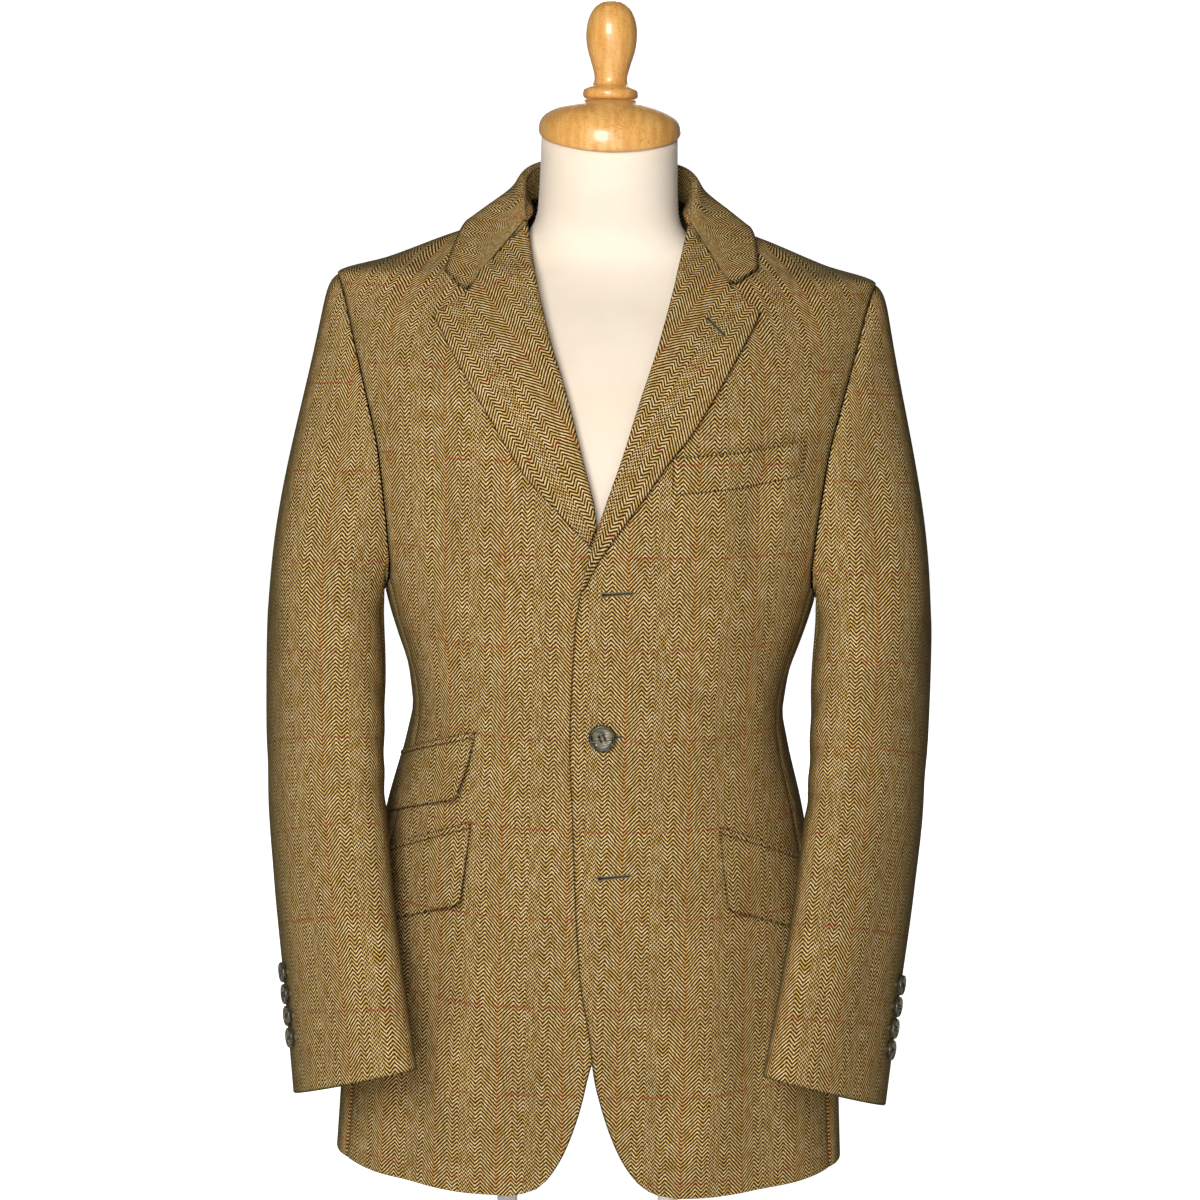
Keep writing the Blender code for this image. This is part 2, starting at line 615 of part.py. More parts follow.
def turned(name, profile, centre, axis, finish_name, segments, tilt=None):
    """A piece turned on a lathe from (radius, height) pairs, bottom to top, with flat ends."""
    axis = unit(np.array(axis))
    aside = unit(np.cross(axis, np.array([0.31, 0.94, 0.12])))
    third = np.cross(axis, aside)
    points = []
    for radius, height in profile:
        for k in range(segments):
            turn = 2 * np.pi * k / segments
            spoke = radius * (np.cos(turn) * aside + np.sin(turn) * third)
            lower = tilt(spoke, height) if tilt else 0.0
            points.append(np.array(centre) + height * axis + spoke + np.array([0.0, 0.0, lower]))
    faces = [tuple(range(segments))]
    for r in range(len(profile) - 1):
        for k in range(segments):
            a, b = r * segments + k, r * segments + (k + 1) % segments
            faces.append((a, b, b + segments, a + segments))
    faces.append(tuple(range((len(profile) - 1) * segments, len(profile) * segments)))
    return add_mesh(name, points, faces, finish_name)


def button_profile(radius, thick):
    """Back, rounded rim and dished face of a sewing button."""
    return ((0.62 * radius, 0.0), (0.92 * radius, 0.22 * thick), (radius, 0.62 * thick),
            (0.94 * radius, 0.94 * thick), (0.84 * radius, thick), (0.74 * radius, 0.72 * thick),
            (0.30 * radius, 0.66 * thick))


def build_front_button():
    x, z = FRONT_BUTTON
    angle = front_angle(x, z)
    seat = on_torso(angle, z, BUTTON_STAND_OFF)
    profile = button_profile(FRONT_BUTTON_RADIUS, FRONT_BUTTON_THICK)
    turned("button_front", profile, seat, torso_normal(angle, z), "horn", FRONT_BUTTON_SEGMENTS)


def build_cuff_buttons(side):
    """Four buttons up the back of each cuff, nearly touching."""
    mirror = np.array([side, 1.0, 1.0])
    profile = button_profile(CUFF_BUTTON_RADIUS, CUFF_BUTTON_THICK)
    run = np.linalg.norm(sleeve_point(CUFF_BUTTON_TURN, 2.0) - sleeve_point(CUFF_BUTTON_TURN, 1.8)) / 0.2
    for k in range(CUFF_BUTTON_COUNT):
        step = 2.0 - (CUFF_BUTTON_FIRST + k * CUFF_BUTTON_PITCH) / run
        round_arm = sleeve_point(CUFF_BUTTON_TURN + 1, step) - sleeve_point(CUFF_BUTTON_TURN - 1, step)
        down_arm = sleeve_point(CUFF_BUTTON_TURN, step + 0.01) - sleeve_point(CUFF_BUTTON_TURN, step - 0.01)
        out = unit(np.cross(round_arm, down_arm)) * mirror
        seat = sleeve_point(CUFF_BUTTON_TURN, step) * mirror + BUTTON_STAND_OFF * out
        turned(f"button_cuff_{side_name(side)}_{k + 1}", profile, seat, out, "horn", CUFF_BUTTON_SEGMENTS)


def neck_tilt(y, z):
    """The form's neck leans forward: its upper rings slope down towards the front."""
    top_z = FORM_RINGS[-1][0]
    share = max(0.0, (z - NECK_TILT_FROM_Z) / (top_z - NECK_TILT_FROM_Z))
    return NECK_TOP_TILT * share * (y - CAP_MIDDLE_Y)


def build_form():
    """The covered torso and neck, closed at the hip and under the cap."""
    points = []
    for row in FORM_RINGS:
        for k in range(FORM_SEGMENTS):
            point = ring_point(FORM_RINGS, 360.0 * k / FORM_SEGMENTS, row[0])
            points.append(point + np.array([0.0, 0.0, neck_tilt(point[1], row[0])]))
    rows, count = len(FORM_RINGS), FORM_SEGMENTS
    faces = [tuple(range(count))]
    for r in range(rows - 1):
        for k in range(count):
            a, b = r * count + k, r * count + (k + 1) % count
            faces.append((a, b, b + count, a + count))
    faces.append(tuple(range((rows - 1) * count, rows * count)))
    add_mesh("form_torso", points, faces, "cover")


def build_cap_and_finial():
    """The turned neck cap, its rim cut to the neck's slope, and the turned finial on it."""
    cap_height = CAP_TOP[1]

    def rim_slope(spoke, height):
        return NECK_TOP_TILT * spoke[1] * max(0.0, 1 - height / cap_height) ** RIM_SLOPE_POWER

    up = (0.0, 0.0, 1.0)
    cap_base = (0.0, CAP_MIDDLE_Y, CAP_BASE_Z)
    turned("neck_cap", CAP_PROFILE + (CAP_TOP,), cap_base, up, "beech", CAP_SEGMENTS, rim_slope)
    finial_base = (0.0, CAP_MIDDLE_Y, FINIAL_BASE_Z)
    turned("finial", FINIAL_PROFILE, finial_base, up, "beech", FINIAL_SEGMENTS)


def build_stand():
    """Two dowels under the torso and a plain base plate."""
    width, depth, thick = BASE_SIZE
    length = FORM_RINGS[0][0] - thick - 2 * PART_GAP
    for side in (1, -1):
        foot = (side * LEG_X, 0.0, thick + PART_GAP)
        profile = ((LEG_RADIUS, 0.0), (LEG_RADIUS, length))
        turned(f"stand_leg_{side_name(side)}", profile, foot, (0, 0, 1), "painted_wood", LEG_SEGMENTS)
    bpy.ops.mesh.primitive_cube_add(size=1.0, location=(0.0, 0.0, thick / 2))
    base = bpy.context.object
    base.name = "stand_base"
    base.data.transform(np.diag((width, depth, thick, 1.0)).tolist())
    base.data.materials.append(finish("painted_wood"))
    bevel = base.modifiers.new("rounded_edges", "BEVEL")
    bevel.width = BASE_BEVEL
    bevel.segments = 2


def build():
    clear_scene()
    for side, edge, outline in ((1, EDGE_LEFT, LAPEL_LEFT), (-1, EDGE_RIGHT, LAPEL_RIGHT)):
        build_front(side, edge)
        build_side(side)
        build_back(side)
        build_lapel(side, edge, outline)
        build_sleeve(side)
        build_cuff_buttons(side)
        build_flap(f"flap_hip_{side_name(side)}", FLAP_HIP, side)
        build_jet(f"jet_hip_{side_name(side)}", FLAP_HIP, side)
    build_flap("flap_ticket", FLAP_TICKET, -1)
    build_jet("jet_ticket", FLAP_TICKET, -1)
    build_collar()
    build_welt()
    build_front_button()
    build_form()
    build_cap_and_finial()
    build_stand()


build()
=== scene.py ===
import math

import bmesh
import bpy
import numpy as np
from mathutils import Matrix, Vector


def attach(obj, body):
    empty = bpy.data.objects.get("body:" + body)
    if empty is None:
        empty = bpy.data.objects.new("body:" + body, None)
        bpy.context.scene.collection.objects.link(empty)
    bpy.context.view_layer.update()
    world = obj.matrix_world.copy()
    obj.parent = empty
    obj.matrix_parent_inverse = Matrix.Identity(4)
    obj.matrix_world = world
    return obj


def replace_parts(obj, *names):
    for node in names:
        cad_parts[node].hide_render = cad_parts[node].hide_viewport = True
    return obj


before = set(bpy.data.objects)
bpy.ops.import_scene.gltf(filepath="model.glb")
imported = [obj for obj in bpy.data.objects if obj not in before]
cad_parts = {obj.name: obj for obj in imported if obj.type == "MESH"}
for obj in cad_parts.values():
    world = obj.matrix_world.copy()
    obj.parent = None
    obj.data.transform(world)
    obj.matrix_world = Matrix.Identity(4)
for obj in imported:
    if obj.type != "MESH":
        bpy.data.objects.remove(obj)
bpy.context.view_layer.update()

# Tailor's form
# A pressed body and neck, covered all over with fine cream cotton jersey. The jacket hangs on it.
# It is made as level rings, front facing -Y, and stays well inside the cloth.
RING_POWER = 2.2
# Columns: z, half width, depth before and behind the middle line, middle line's y
FORM_RINGS = (
    (0.275, 0.1740, 0.1160, 0.1150, 0.000),
    (0.300, 0.1710, 0.1160, 0.1140, 0.000),
    (0.405, 0.1490, 0.1150, 0.1020, 0.000),
    (0.488, 0.1320, 0.1140, 0.0930, 0.000),
    (0.567, 0.1480, 0.1150, 0.0990, 0.002),
    (0.620, 0.1600, 0.1150, 0.1060, 0.004),
    (0.690, 0.1700, 0.1080, 0.1120, 0.006),
    (0.740, 0.1760, 0.0940, 0.1100, 0.010),
    (0.780, 0.1760, 0.0720, 0.0980, 0.014),
    (0.800, 0.1660, 0.0560, 0.0850, 0.017),
    (0.815, 0.1420, 0.0440, 0.0760, 0.018),
    (0.828, 0.0960, 0.0370, 0.0640, 0.019),
    (0.842, 0.0620, 0.0370, 0.0530, 0.018),
    (0.860, 0.0535, 0.0420, 0.0460, 0.016),
    (0.885, 0.0520, 0.0460, 0.0470, 0.012),
    (0.9175, 0.0512, 0.0470, 0.0480, 0.010),
)
FORM_SEGMENTS = 96
FORM_ROWS = 90
NECK_TOP_TILT = 0.24
NECK_TILT_FROM_Z = 0.842
CAP_MIDDLE_Y = 0.010
JERSEY_CREAM = (236, 222, 204)
JERSEY_SHADE = (228, 212, 190)


def table_curve(rows, column):
    """A smooth curve, with no overshoot, through one column of a table that is read by its first column."""
    keys = np.array([row[0] for row in rows])
    values = np.array([row[column] for row in rows])
    spans = np.diff(keys)
    rises = np.diff(values) / spans
    slopes = [rises[0]]
    for before, after in zip(rises[:-1], rises[1:]):
        slopes.append(2 * before * after / (before + after) if before * after > 0 else 0.0)
    slopes = np.array(slopes + [rises[-1]])

    def read(at):
        at = np.clip(at, keys[0], keys[-1])
        k = np.clip(np.searchsorted(keys, at, side="right") - 1, 0, len(spans) - 1)
        t = (at - keys[k]) / spans[k]
        start = (1 + 2 * t) * values[k] + t * spans[k] * slopes[k]
        end = (3 - 2 * t) * values[k + 1] + (t - 1) * spans[k] * slopes[k + 1]
        return (1 - t) ** 2 * start + t ** 2 * end

    return read


def ring_stack(rows):
    """A surface of level rings: gives points for angles, 0 at the front and 90 at the wearer's left."""
    half_width, front, back, middle_y = (table_curve(rows, column) for column in range(1, 5))

    def point(angle, z):
        turn = np.radians(angle)
        across = np.sign(np.sin(turn)) * np.abs(np.sin(turn)) ** (2 / RING_POWER)
        along = np.sign(np.cos(turn)) * np.abs(np.cos(turn)) ** (2 / RING_POWER)
        depth = np.where(along > 0, front(z), back(z))
        return np.stack(np.broadcast_arrays(half_width(z) * across, middle_y(z) - depth * along, z), axis=-1)

    return point


def linear(colour):
    """A display colour, 0 to 255, as the shader's linear values."""
    shares = np.array(colour) / 255.0
    low, high = shares / 12.92, ((shares + 0.055) / 1.055) ** 2.4
    return (*np.where(shares <= 0.04045, low, high).tolist(), 1.0)


def place(tree, kind, *inputs, **settings):
    """Add a node. Its inputs are values, or sockets of other nodes, in the order of its sockets."""
    node = tree.nodes.new(kind)
    for key, value in settings.items():
        setattr(node, key, value)
    for socket, given in zip(node.inputs, inputs):
        if isinstance(given, bpy.types.NodeSocket):
            tree.links.new(given, socket)
        elif given is not None:
            socket.default_value = given
    return node


def sums(tree, operation, *inputs):
    return place(tree, "ShaderNodeMath", *inputs, operation=operation).outputs[0]


def noise(tree, where, scale, detail=2.0, roughness=0.5):
    node = place(tree, "ShaderNodeTexNoise", where)
    for name, value in (("Scale", scale), ("Detail", detail), ("Roughness", roughness)):
        node.inputs[name].default_value = value
    return node.outputs["Fac"]


def stretch(tree, where, scale):
    """Scale a place unevenly, so that a pattern runs along one direction."""
    node = place(tree, "ShaderNodeMapping", where)
    node.inputs["Scale"].default_value = scale
    return node.outputs["Vector"]


def ease(tree, value, low, high, start=0.0, end=1.0):
    """Step softly from start to end while value goes from low to high."""
    node = place(tree, "ShaderNodeMapRange", value, low, high, start, end, interpolation_type="SMOOTHSTEP")
    return node.outputs["Result"]


def mixed(tree, share, first, second):
    """Mix two colours, each a display colour or a socket."""
    node = place(tree, "ShaderNodeMix", share, data_type="RGBA")
    for socket, given in zip(node.inputs[6:8], (first, second)):
        if isinstance(given, bpy.types.NodeSocket):
            tree.links.new(given, socket)
        else:
            socket.default_value = linear(given)
    return node.outputs[2]


def new_finish(name, roughness, **constants):
    """A material whose shader has plain constant values, ready for its colour and bump."""
    material = bpy.data.materials.new(name)
    material.use_nodes = True
    shader = material.node_tree.nodes["Principled BSDF"]
    shader.inputs["Roughness"].default_value = roughness
    for key, value in constants.items():
        shader.inputs[key.replace("_", " ")].default_value = value
    return material, material.node_tree, shader


def raise_bump(tree, shader, height, distance, strength=1.0):
    bump = place(tree, "ShaderNodeBump")
    bump.inputs["Strength"].default_value = strength
    bump.inputs["Distance"].default_value = distance
    tree.links.new(height, bump.inputs["Height"])
    tree.links.new(bump.outputs["Normal"], shader.inputs["Normal"])


def object_place(tree):
    return place(tree, "ShaderNodeTexCoord").outputs["Object"]


def face_out(mesh):
    """Turn a closed mesh's faces outwards."""
    work = bmesh.new()
    work.from_mesh(mesh)
    bmesh.ops.recalc_face_normals(work, faces=work.faces)
    work.to_mesh(mesh)
    work.free()


def show(name, mesh):
    """Put a finished mesh in the scene as a piece that rides on the part's body."""
    piece = bpy.data.objects.new(name, mesh)
    bpy.context.scene.collection.objects.link(piece)
    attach(piece, "root")
    return piece


def add_piece(name, points, faces, material, uv=None):
    """One smooth mesh piece, with its faces turned outwards."""
    mesh = bpy.data.meshes.new(name)
    mesh.from_pydata([tuple(point) for point in points], [], faces)
    if uv is not None:
        layer = mesh.uv_layers.new(name="cloth")
        corners = np.empty(len(mesh.loops), dtype=np.int32)
        mesh.loops.foreach_get("vertex_index", corners)
        layer.data.foreach_set("uv", np.asarray(uv, dtype=np.float32)[corners].ravel())
    face_out(mesh)
    mesh.shade_smooth()
    mesh.materials.append(material)
    return show(name, mesh)


def closed_rings(rings):
    """Points and faces of a solid from a stack of closed rings, with flat ends."""
    rows, count = rings.shape[:2]
    faces = [tuple(range(count)), tuple(range((rows - 1) * count, rows * count))]
    for r in range(rows - 1):
        for k in range(count):
            a, b = r * count + k, r * count + (k + 1) % count
            faces.append((a, b, b + count, a + count))
    return rings.reshape(-1, 3), faces


def jersey_finish():
    material, tree, shader = new_finish("cream_jersey", 0.85, Sheen_Weight=0.15)
    where = object_place(tree)
    tone = ease(tree, noise(tree, where, 9.0, 3.0), 0.35, 0.7)
    tree.links.new(mixed(tree, tone, JERSEY_CREAM, JERSEY_SHADE), shader.inputs["Base Color"])
    loops = noise(tree, stretch(tree, where, (1.0, 1.0, 0.55)), 1400.0, 1.0)
    raise_bump(tree, shader, loops, 0.0002, 0.5)
    return material


def build_form():
    body = ring_stack(FORM_RINGS)
    top_z = FORM_RINGS[-1][0]
    z = np.linspace(FORM_RINGS[0][0], top_z, FORM_ROWS)[:, None]
    rings = body(np.arange(FORM_SEGMENTS)[None, :] * 360.0 / FORM_SEGMENTS, z)
    share = np.clip((rings[..., 2] - NECK_TILT_FROM_Z) / (top_z - NECK_TILT_FROM_Z), 0.0, 1.0)
    rings[..., 2] += NECK_TOP_TILT * share * (rings[..., 1] - CAP_MIDDLE_Y)
    return add_piece("form_body", *closed_rings(rings), jersey_finish())


form_body = build_form()
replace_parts(form_body, "form_torso")

# Neck cap and finial
# Two turnings of varnished beech. The cap's rim is cut to the slope of the neck, and the finial,
# an egg on a short stem with a ring foot, is pegged into the top of the cap.
CAP_BASE_Z = 0.9180
# Columns of both profiles: radius, height above the foot
CAP_PROFILE = (
    (0.0505, 0.0000), (0.0528, 0.0012), (0.0535, 0.0045), (0.0526, 0.0095), (0.0495, 0.0140),
    (0.0430, 0.0188), (0.0340, 0.0225), (0.0240, 0.0250), (0.0180, 0.0262),
)
FINIAL_BASE_Z = 0.9446
FINIAL_PROFILE = (
    (0.0185, 0.0000), (0.0203, 0.0016), (0.0207, 0.0042), (0.0196, 0.0072), (0.0160, 0.0094),
    (0.0136, 0.0108), (0.0124, 0.0140), (0.0128, 0.0190), (0.0150, 0.0265), (0.0176, 0.0350),
    (0.0191, 0.0435), (0.0190, 0.0520), (0.0172, 0.0600), (0.0135, 0.0668), (0.0085, 0.0708),
    (0.0040, 0.0722),
)
CAP_TILT_FADE = 1.5
TURNING_SEGMENTS = 72
PROFILE_STEPS = 5
BEECH_LIGHT = (232, 178, 102)
BEECH_MIDDLE = (214, 152, 76)
BEECH_FLECK = (186, 118, 52)


def smooth_path(points, steps):
    """A finer path of points along the smooth curve through a few points."""
    points = np.array(points, dtype=float)
    padded = np.vstack([2 * points[0] - points[1], points, 2 * points[-1] - points[-2]])
    fine = []
    for k in range(len(points) - 1):
        before, a, b, after = padded[k:k + 4]
        for f in np.arange(steps) / steps:
            fine.append(0.5 * (2 * a + (b - before) * f + (2 * before - 5 * a + 4 * b - after) * f ** 2
                               + (3 * a - before - 3 * b + after) * f ** 3))
    return np.array(fine + [points[-1]])


def turned_rings(profile, centre, segments):
    """Rings of a piece turned on a lathe about Z from (radius, height) pairs."""
    turns = np.arange(segments) * 2 * np.pi / segments
    radius, height = profile[:, :1], profile[:, 1:]
    rings = np.stack([radius * np.cos(turns), radius * np.sin(turns), height + 0 * turns], axis=-1)
    return rings + np.array(centre)


def beech_finish():
    material, tree, shader = new_finish("varnished_beech", 0.34, Coat_Weight=0.35, Coat_Roughness=0.12)
    where = object_place(tree)
    grain = noise(tree, stretch(tree, where, (1.0, 0.35, 0.12)), 190.0, 4.0, 0.6)
    board = mixed(tree, ease(tree, grain, 0.32, 0.68), BEECH_MIDDLE, BEECH_LIGHT)
    rays = noise(tree, stretch(tree, where, (0.30, 1.0, 1.0)), 900.0, 1.0)
    flecks = sums(tree, "MULTIPLY", ease(tree, rays, 0.57, 0.70), 0.55)
    tree.links.new(mixed(tree, flecks, board, BEECH_FLECK), shader.inputs["Base Color"])
    raise_bump(tree, shader, grain, 0.0002, 0.25)
    return material


def build_cap(material):
    profile = smooth_path(CAP_PROFILE, PROFILE_STEPS)
    rings = turned_rings(profile, (0.0, CAP_MIDDLE_Y, CAP_BASE_Z), TURNING_SEGMENTS)
    share = np.clip(1 - profile[:, 1] / profile[-1, 1], 0.0, 1.0)[:, None] ** CAP_TILT_FADE
    rings[..., 2] += NECK_TOP_TILT * (rings[..., 1] - CAP_MIDDLE_Y) * share
    return add_piece("turned_cap", *closed_rings(rings), material)


def build_finial(material):
    profile = smooth_path(FINIAL_PROFILE, PROFILE_STEPS)
    rings = turned_rings(profile, (0.0, CAP_MIDDLE_Y, FINIAL_BASE_Z), TURNING_SEGMENTS)
    return add_piece("turned_finial", *closed_rings(rings), material)


beech = beech_finish()
turned_cap = build_cap(beech)
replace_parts(turned_cap, "neck_cap")
turned_finial = build_finial(beech)
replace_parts(turned_finial, "finial")

# Stand
# Two dowels under the body and a flat base board, brushed with off-white satin paint.
# They keep the shapes they have in the frame and only get their paint here.
STAND_NODES = ("stand_leg_left", "stand_leg_right", "stand_base")
PAINT_WHITE = (240, 237, 229)
PAINT_WORN = (226, 220, 207)


def paint_finish():
    material, tree, shader = new_finish("off_white_paint", 0.45)
    where = object_place(tree)
    patches = ease(tree, noise(tree, where, 14.0, 4.0), 0.45, 0.75)
    tree.links.new(mixed(tree, patches, PAINT_WHITE, PAINT_WORN), shader.inputs["Base Color"])
    strokes = noise(tree, stretch(tree, where, (0.06, 1.0, 1.0)), 420.0, 2.0)
    raise_bump(tree, shader, strokes, 0.0003, 0.3)
    return material


off_white = paint_finish()
for node_name in STAND_NODES:
    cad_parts[node_name].data.materials.clear()
    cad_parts[node_name].data.materials.append(off_white)

# Fronts
# Two panels of brown herringbone tweed. The left one laps over the right. Each runs from the hem up
# its cut-away quarter and front edge to the lapel's roll line, the shoulder, armhole and side seam.
WALL = 0.0024
SEAM_GAP = 0.0004
# Width of the painted shade line along cloth edges, rounding of the turned edge, and how dark the painted
# shade line gets
EDGE_WIDTH = 0.0011
EDGE_ROUND = 0.36
EDGE_SHADE_STRENGTH = 0.66
# How much of the painted shade line along a cloth edge shows at a pressed seam and at the armhole
SEAM_SHOWN = 0.2
ARMHOLE_SHOWN = 0.4
FRONT_DIP = 0.0034
DIP_FROM_X = -0.052
DIP_TO_X = -0.026
# Columns: z, half width, depth before and behind the middle line, middle line's y
RINGS = (
    (0.130, 0.1995, 0.128, 0.130, 0.000),
    (0.220, 0.1920, 0.128, 0.129, 0.000),
    (0.300, 0.1830, 0.127, 0.126, 0.000),
    (0.405, 0.1610, 0.126, 0.114, 0.000),
    (0.488, 0.1440, 0.125, 0.105, 0.000),
    (0.567, 0.1635, 0.126, 0.111, 0.002),
    (0.620, 0.1780, 0.126, 0.118, 0.004),
    (0.690, 0.1900, 0.120, 0.124, 0.006),
    (0.760, 0.2000, 0.099, 0.121, 0.012),
    (0.800, 0.2045, 0.072, 0.105, 0.017),
    (0.811, 0.2050, 0.063, 0.098, 0.018),
    (0.8235, 0.1670, 0.049, 0.088, 0.020),
    (0.840, 0.1250, 0.033, 0.077, 0.021),
    (0.851, 0.0950, 0.021, 0.070, 0.021),
    (0.866, 0.0660, 0.010, 0.060, 0.020),
)
# Columns: z, angle of the armhole's front edge, angle of its back edge
ARMHOLE = (
    (0.585, 70.0, 110.0),
    (0.600, 65.0, 114.0),
    (0.640, 61.5, 117.0),
    (0.680, 61.0, 117.5),
    (0.720, 64.0, 115.0),
    (0.763, 69.5, 111.0),
    (0.792, 74.5, 106.0),
    (0.806, 81.0, 99.0),
    (0.811, 90.0, 90.0),
)
HEM_Z = 0.130
SHOULDER_Z = 0.811
FRONT_TOP_Z = 0.857
# Columns: z, x of the front edge, from the hem to the roll line's top
EDGE_LEFT = (
    (0.1300, 0.0680), (0.1340, 0.0500), (0.1490, 0.0330), (0.1710, 0.0205), (0.2020, 0.0094),
    (0.2250, 0.0036), (0.2550, -0.0006), (0.3000, -0.0085), (0.3500, -0.0125), (0.4140, -0.0160),
    (0.4840, -0.0195), (0.5480, -0.0180), (0.5850, -0.0145), (0.6150, -0.0067), (0.6400, 0.0005),
    (0.6870, 0.0160), (0.7225, 0.0267), (0.7715, 0.0426), (0.8200, 0.0555), (0.8570, 0.0640),
)
EDGE_RIGHT = (
    (0.1300, -0.0580), (0.1360, -0.0394), (0.1476, -0.0283), (0.1710, -0.0164), (0.2016, -0.0069),
    (0.2250, -0.0020), (0.2550, 0.0060), (0.3000, 0.0140), (0.4140, 0.0180), (0.5480, 0.0180),
    (0.5850, 0.0140), (0.6100, 0.0060), (0.6300, -0.0030), (0.6547, -0.0080), (0.6865, -0.0170),
    (0.7215, -0.0265), (0.7422, -0.0330), (0.7698, -0.0428), (0.8200, -0.0568), (0.8570, -0.0640),
)
NECK_CUT = 0.0115
NECK_CUT_FROM_Z = 0.806
# Soft troughs and ridges of the hang. Columns: round the body from the centre front, z, then the
# same of the other end, half width, height
FRONT_CREASES = (
    (-0.128, 0.335, -0.146, 0.128, 0.020, -0.0042),
    (-0.088, 0.300, -0.098, 0.128, 0.026, 0.0036),
    (-0.052, 0.260, -0.064, 0.128, 0.016, -0.0014),
    (0.122, 0.330, 0.140, 0.128, 0.022, -0.0038),
    (0.084, 0.285, 0.092, 0.128, 0.024, 0.0030),
    (0.052, 0.240, 0.060, 0.128, 0.014, -0.0012),
    (-0.128, 0.715, -0.118, 0.600, 0.014, -0.0034),
    (-0.098, 0.660, -0.104, 0.560, 0.020, 0.0018),
    (0.126, 0.705, 0.114, 0.610, 0.015, -0.0030),
    (0.096, 0.650, 0.100, 0.570, 0.018, 0.0015),
    (-0.036, 0.492, -0.112, 0.520, 0.011, -0.0015),
    (-0.036, 0.474, -0.108, 0.446, 0.012, -0.0012),
    (0.036, 0.490, 0.110, 0.512, 0.012, -0.0014),
    (0.038, 0.476, 0.100, 0.458, 0.010, -0.0010),
    (-0.030, 0.600, -0.033, 0.330, 0.008, -0.0014),
    (0.020, 0.575, 0.030, 0.520, 0.012, -0.0010),
    (-0.150, 0.790, -0.120, 0.745, 0.012, -0.0012),
    (0.148, 0.788, 0.116, 0.750, 0.012, -0.0012),
)
CREASE_DEPTH = 1.3
CREASE_ENDS = 0.45
PANEL_COLUMNS = 56
# Close rows above the hem, and the heights where even rows start and stop
HEM_ROWS = (0.0, 0.0004, 0.0013, 0.003)
HEM_BAND = 0.003
BODY_ROWS_FROM = 0.006
BODY_ROWS_STOP = 0.004
SHOULDER_ROWS_FROM = 0.0035
TOP_ROWS_STOP = 0.001
TOP_EDGE_ROW = 0.0004
FRONT_ROW_STEP = 0.0065
SHOULDER_ROW_STEP = 0.0019
SEAM_DIP = 0.0008
SEAM_DIP_WIDTH = 0.0024
# Where the pattern lies on the fronts: a rust line at this x on each side, a red line at this height
RUST_LINE_X = 0.0204
RED_LINE_Z = 0.4806
LENGTH_LINE_X = 0.095
# Over the shoulder the weave leans towards the neck
SHOULDER_LEAN = 0.026
LEAN_FROM_Z = 0.745
LEAN_OVER = 0.070
LEAN_MOST = 1.3

torso = ring_stack(RINGS)
torso_half_width = table_curve(RINGS, 1)


def unit(vectors):
    return vectors / np.linalg.norm(vectors, axis=-1, keepdims=True)


def torso_outward(angle, z):
    turn_step, rise_step = 0.5, 0.0015
    round_the_body = torso(angle + turn_step, z) - torso(angle - turn_step, z)
    return unit(np.cross(round_the_body, torso(angle, z + rise_step) - torso(angle, z - rise_step)))


def on_torso(angle, z, lift):
    return torso(angle, z) + np.asarray(lift)[..., None] * torso_outward(angle, z)


def front_angle(x, z):
    """Angle of the front surface's point at a given x and height."""
    share = np.clip(np.abs(x) / torso_half_width(z), 0.0, 1.0)
    return np.sign(x) * np.degrees(np.arcsin(share ** (RING_POWER / 2)))


def seam_turn(angle, z, width):
    """The angle that covers a given width on the surface."""
    step = 0.5
    return width * 2 * step / np.linalg.norm(torso(angle + step, z) - torso(angle - step, z), axis=-1)


def round_length(angle, z, start):
    """Length round the body at one height, from the angle start, with the angle's sign."""
    steps = 24
    total = 0.0
    before = torso(start + 0 * angle, z)
    for k in range(1, steps + 1):
        after = torso(start + (angle - start) * k / steps, z)
        total = total + np.linalg.norm(after - before, axis=-1)
        before = after
    return np.sign(angle - start) * total


def up_length(z, behind=False):
    """Length of cloth up the front, or the back, from the height of a red line."""
    heights = np.linspace(HEM_Z - 0.01, RINGS[-1][0], 220)
    angle = front_angle(LENGTH_LINE_X, heights)
    line = torso(180 - angle if behind else angle, heights)
    lengths = np.concatenate([[0.0], np.cumsum(np.hypot(np.diff(line[:, 1]), np.diff(heights)))])
    return np.interp(z, heights, lengths) - np.interp(RED_LINE_Z, heights, lengths)


def creases(rows, along, z, depth=CREASE_DEPTH, ends=CREASE_ENDS):
    """Height of a list of soft troughs and ridges at places of a panel. They fade towards their ends."""
    total = 0.0
    for along_0, z_0, along_1, z_1, half_width, height in rows:
        run = np.array([along_1 - along_0, z_1 - z_0])
        t = np.clip(((along - along_0) * run[0] + (z - z_0) * run[1]) / (run @ run), 0.0, 1.0)
        off = np.hypot(along - along_0 - t * run[0], z - z_0 - t * run[1])
        soft = np.exp(-(off / half_width) ** 2)
        total = total + depth * height * soft * (ends + (1 - ends) * np.sin(np.pi * t))
    return total


def front_lift(side, angle, z):
    """The fronts' hang: their creases, and the dip of the right front behind the left one."""
    along = round_length(angle, z, 0.0)
    lift = creases(FRONT_CREASES, along, z)
    if side > 0:
        return lift
    t = np.clip((torso(angle, z)[..., 0] - DIP_FROM_X) / (DIP_TO_X - DIP_FROM_X), 0.0, 1.0)
    return lift - FRONT_DIP * t * t * (3 - 2 * t)


def front_uv(side, angle, z):
    lean = SHOULDER_LEAN * np.clip((z - LEAN_FROM_Z) / LEAN_OVER, 0.0, LEAN_MOST) ** 2
    along = round_length(angle, z, 0.0) + side * (lean - RUST_LINE_X)
    return np.stack(np.broadcast_arrays(along, up_length(z)), axis=-1)


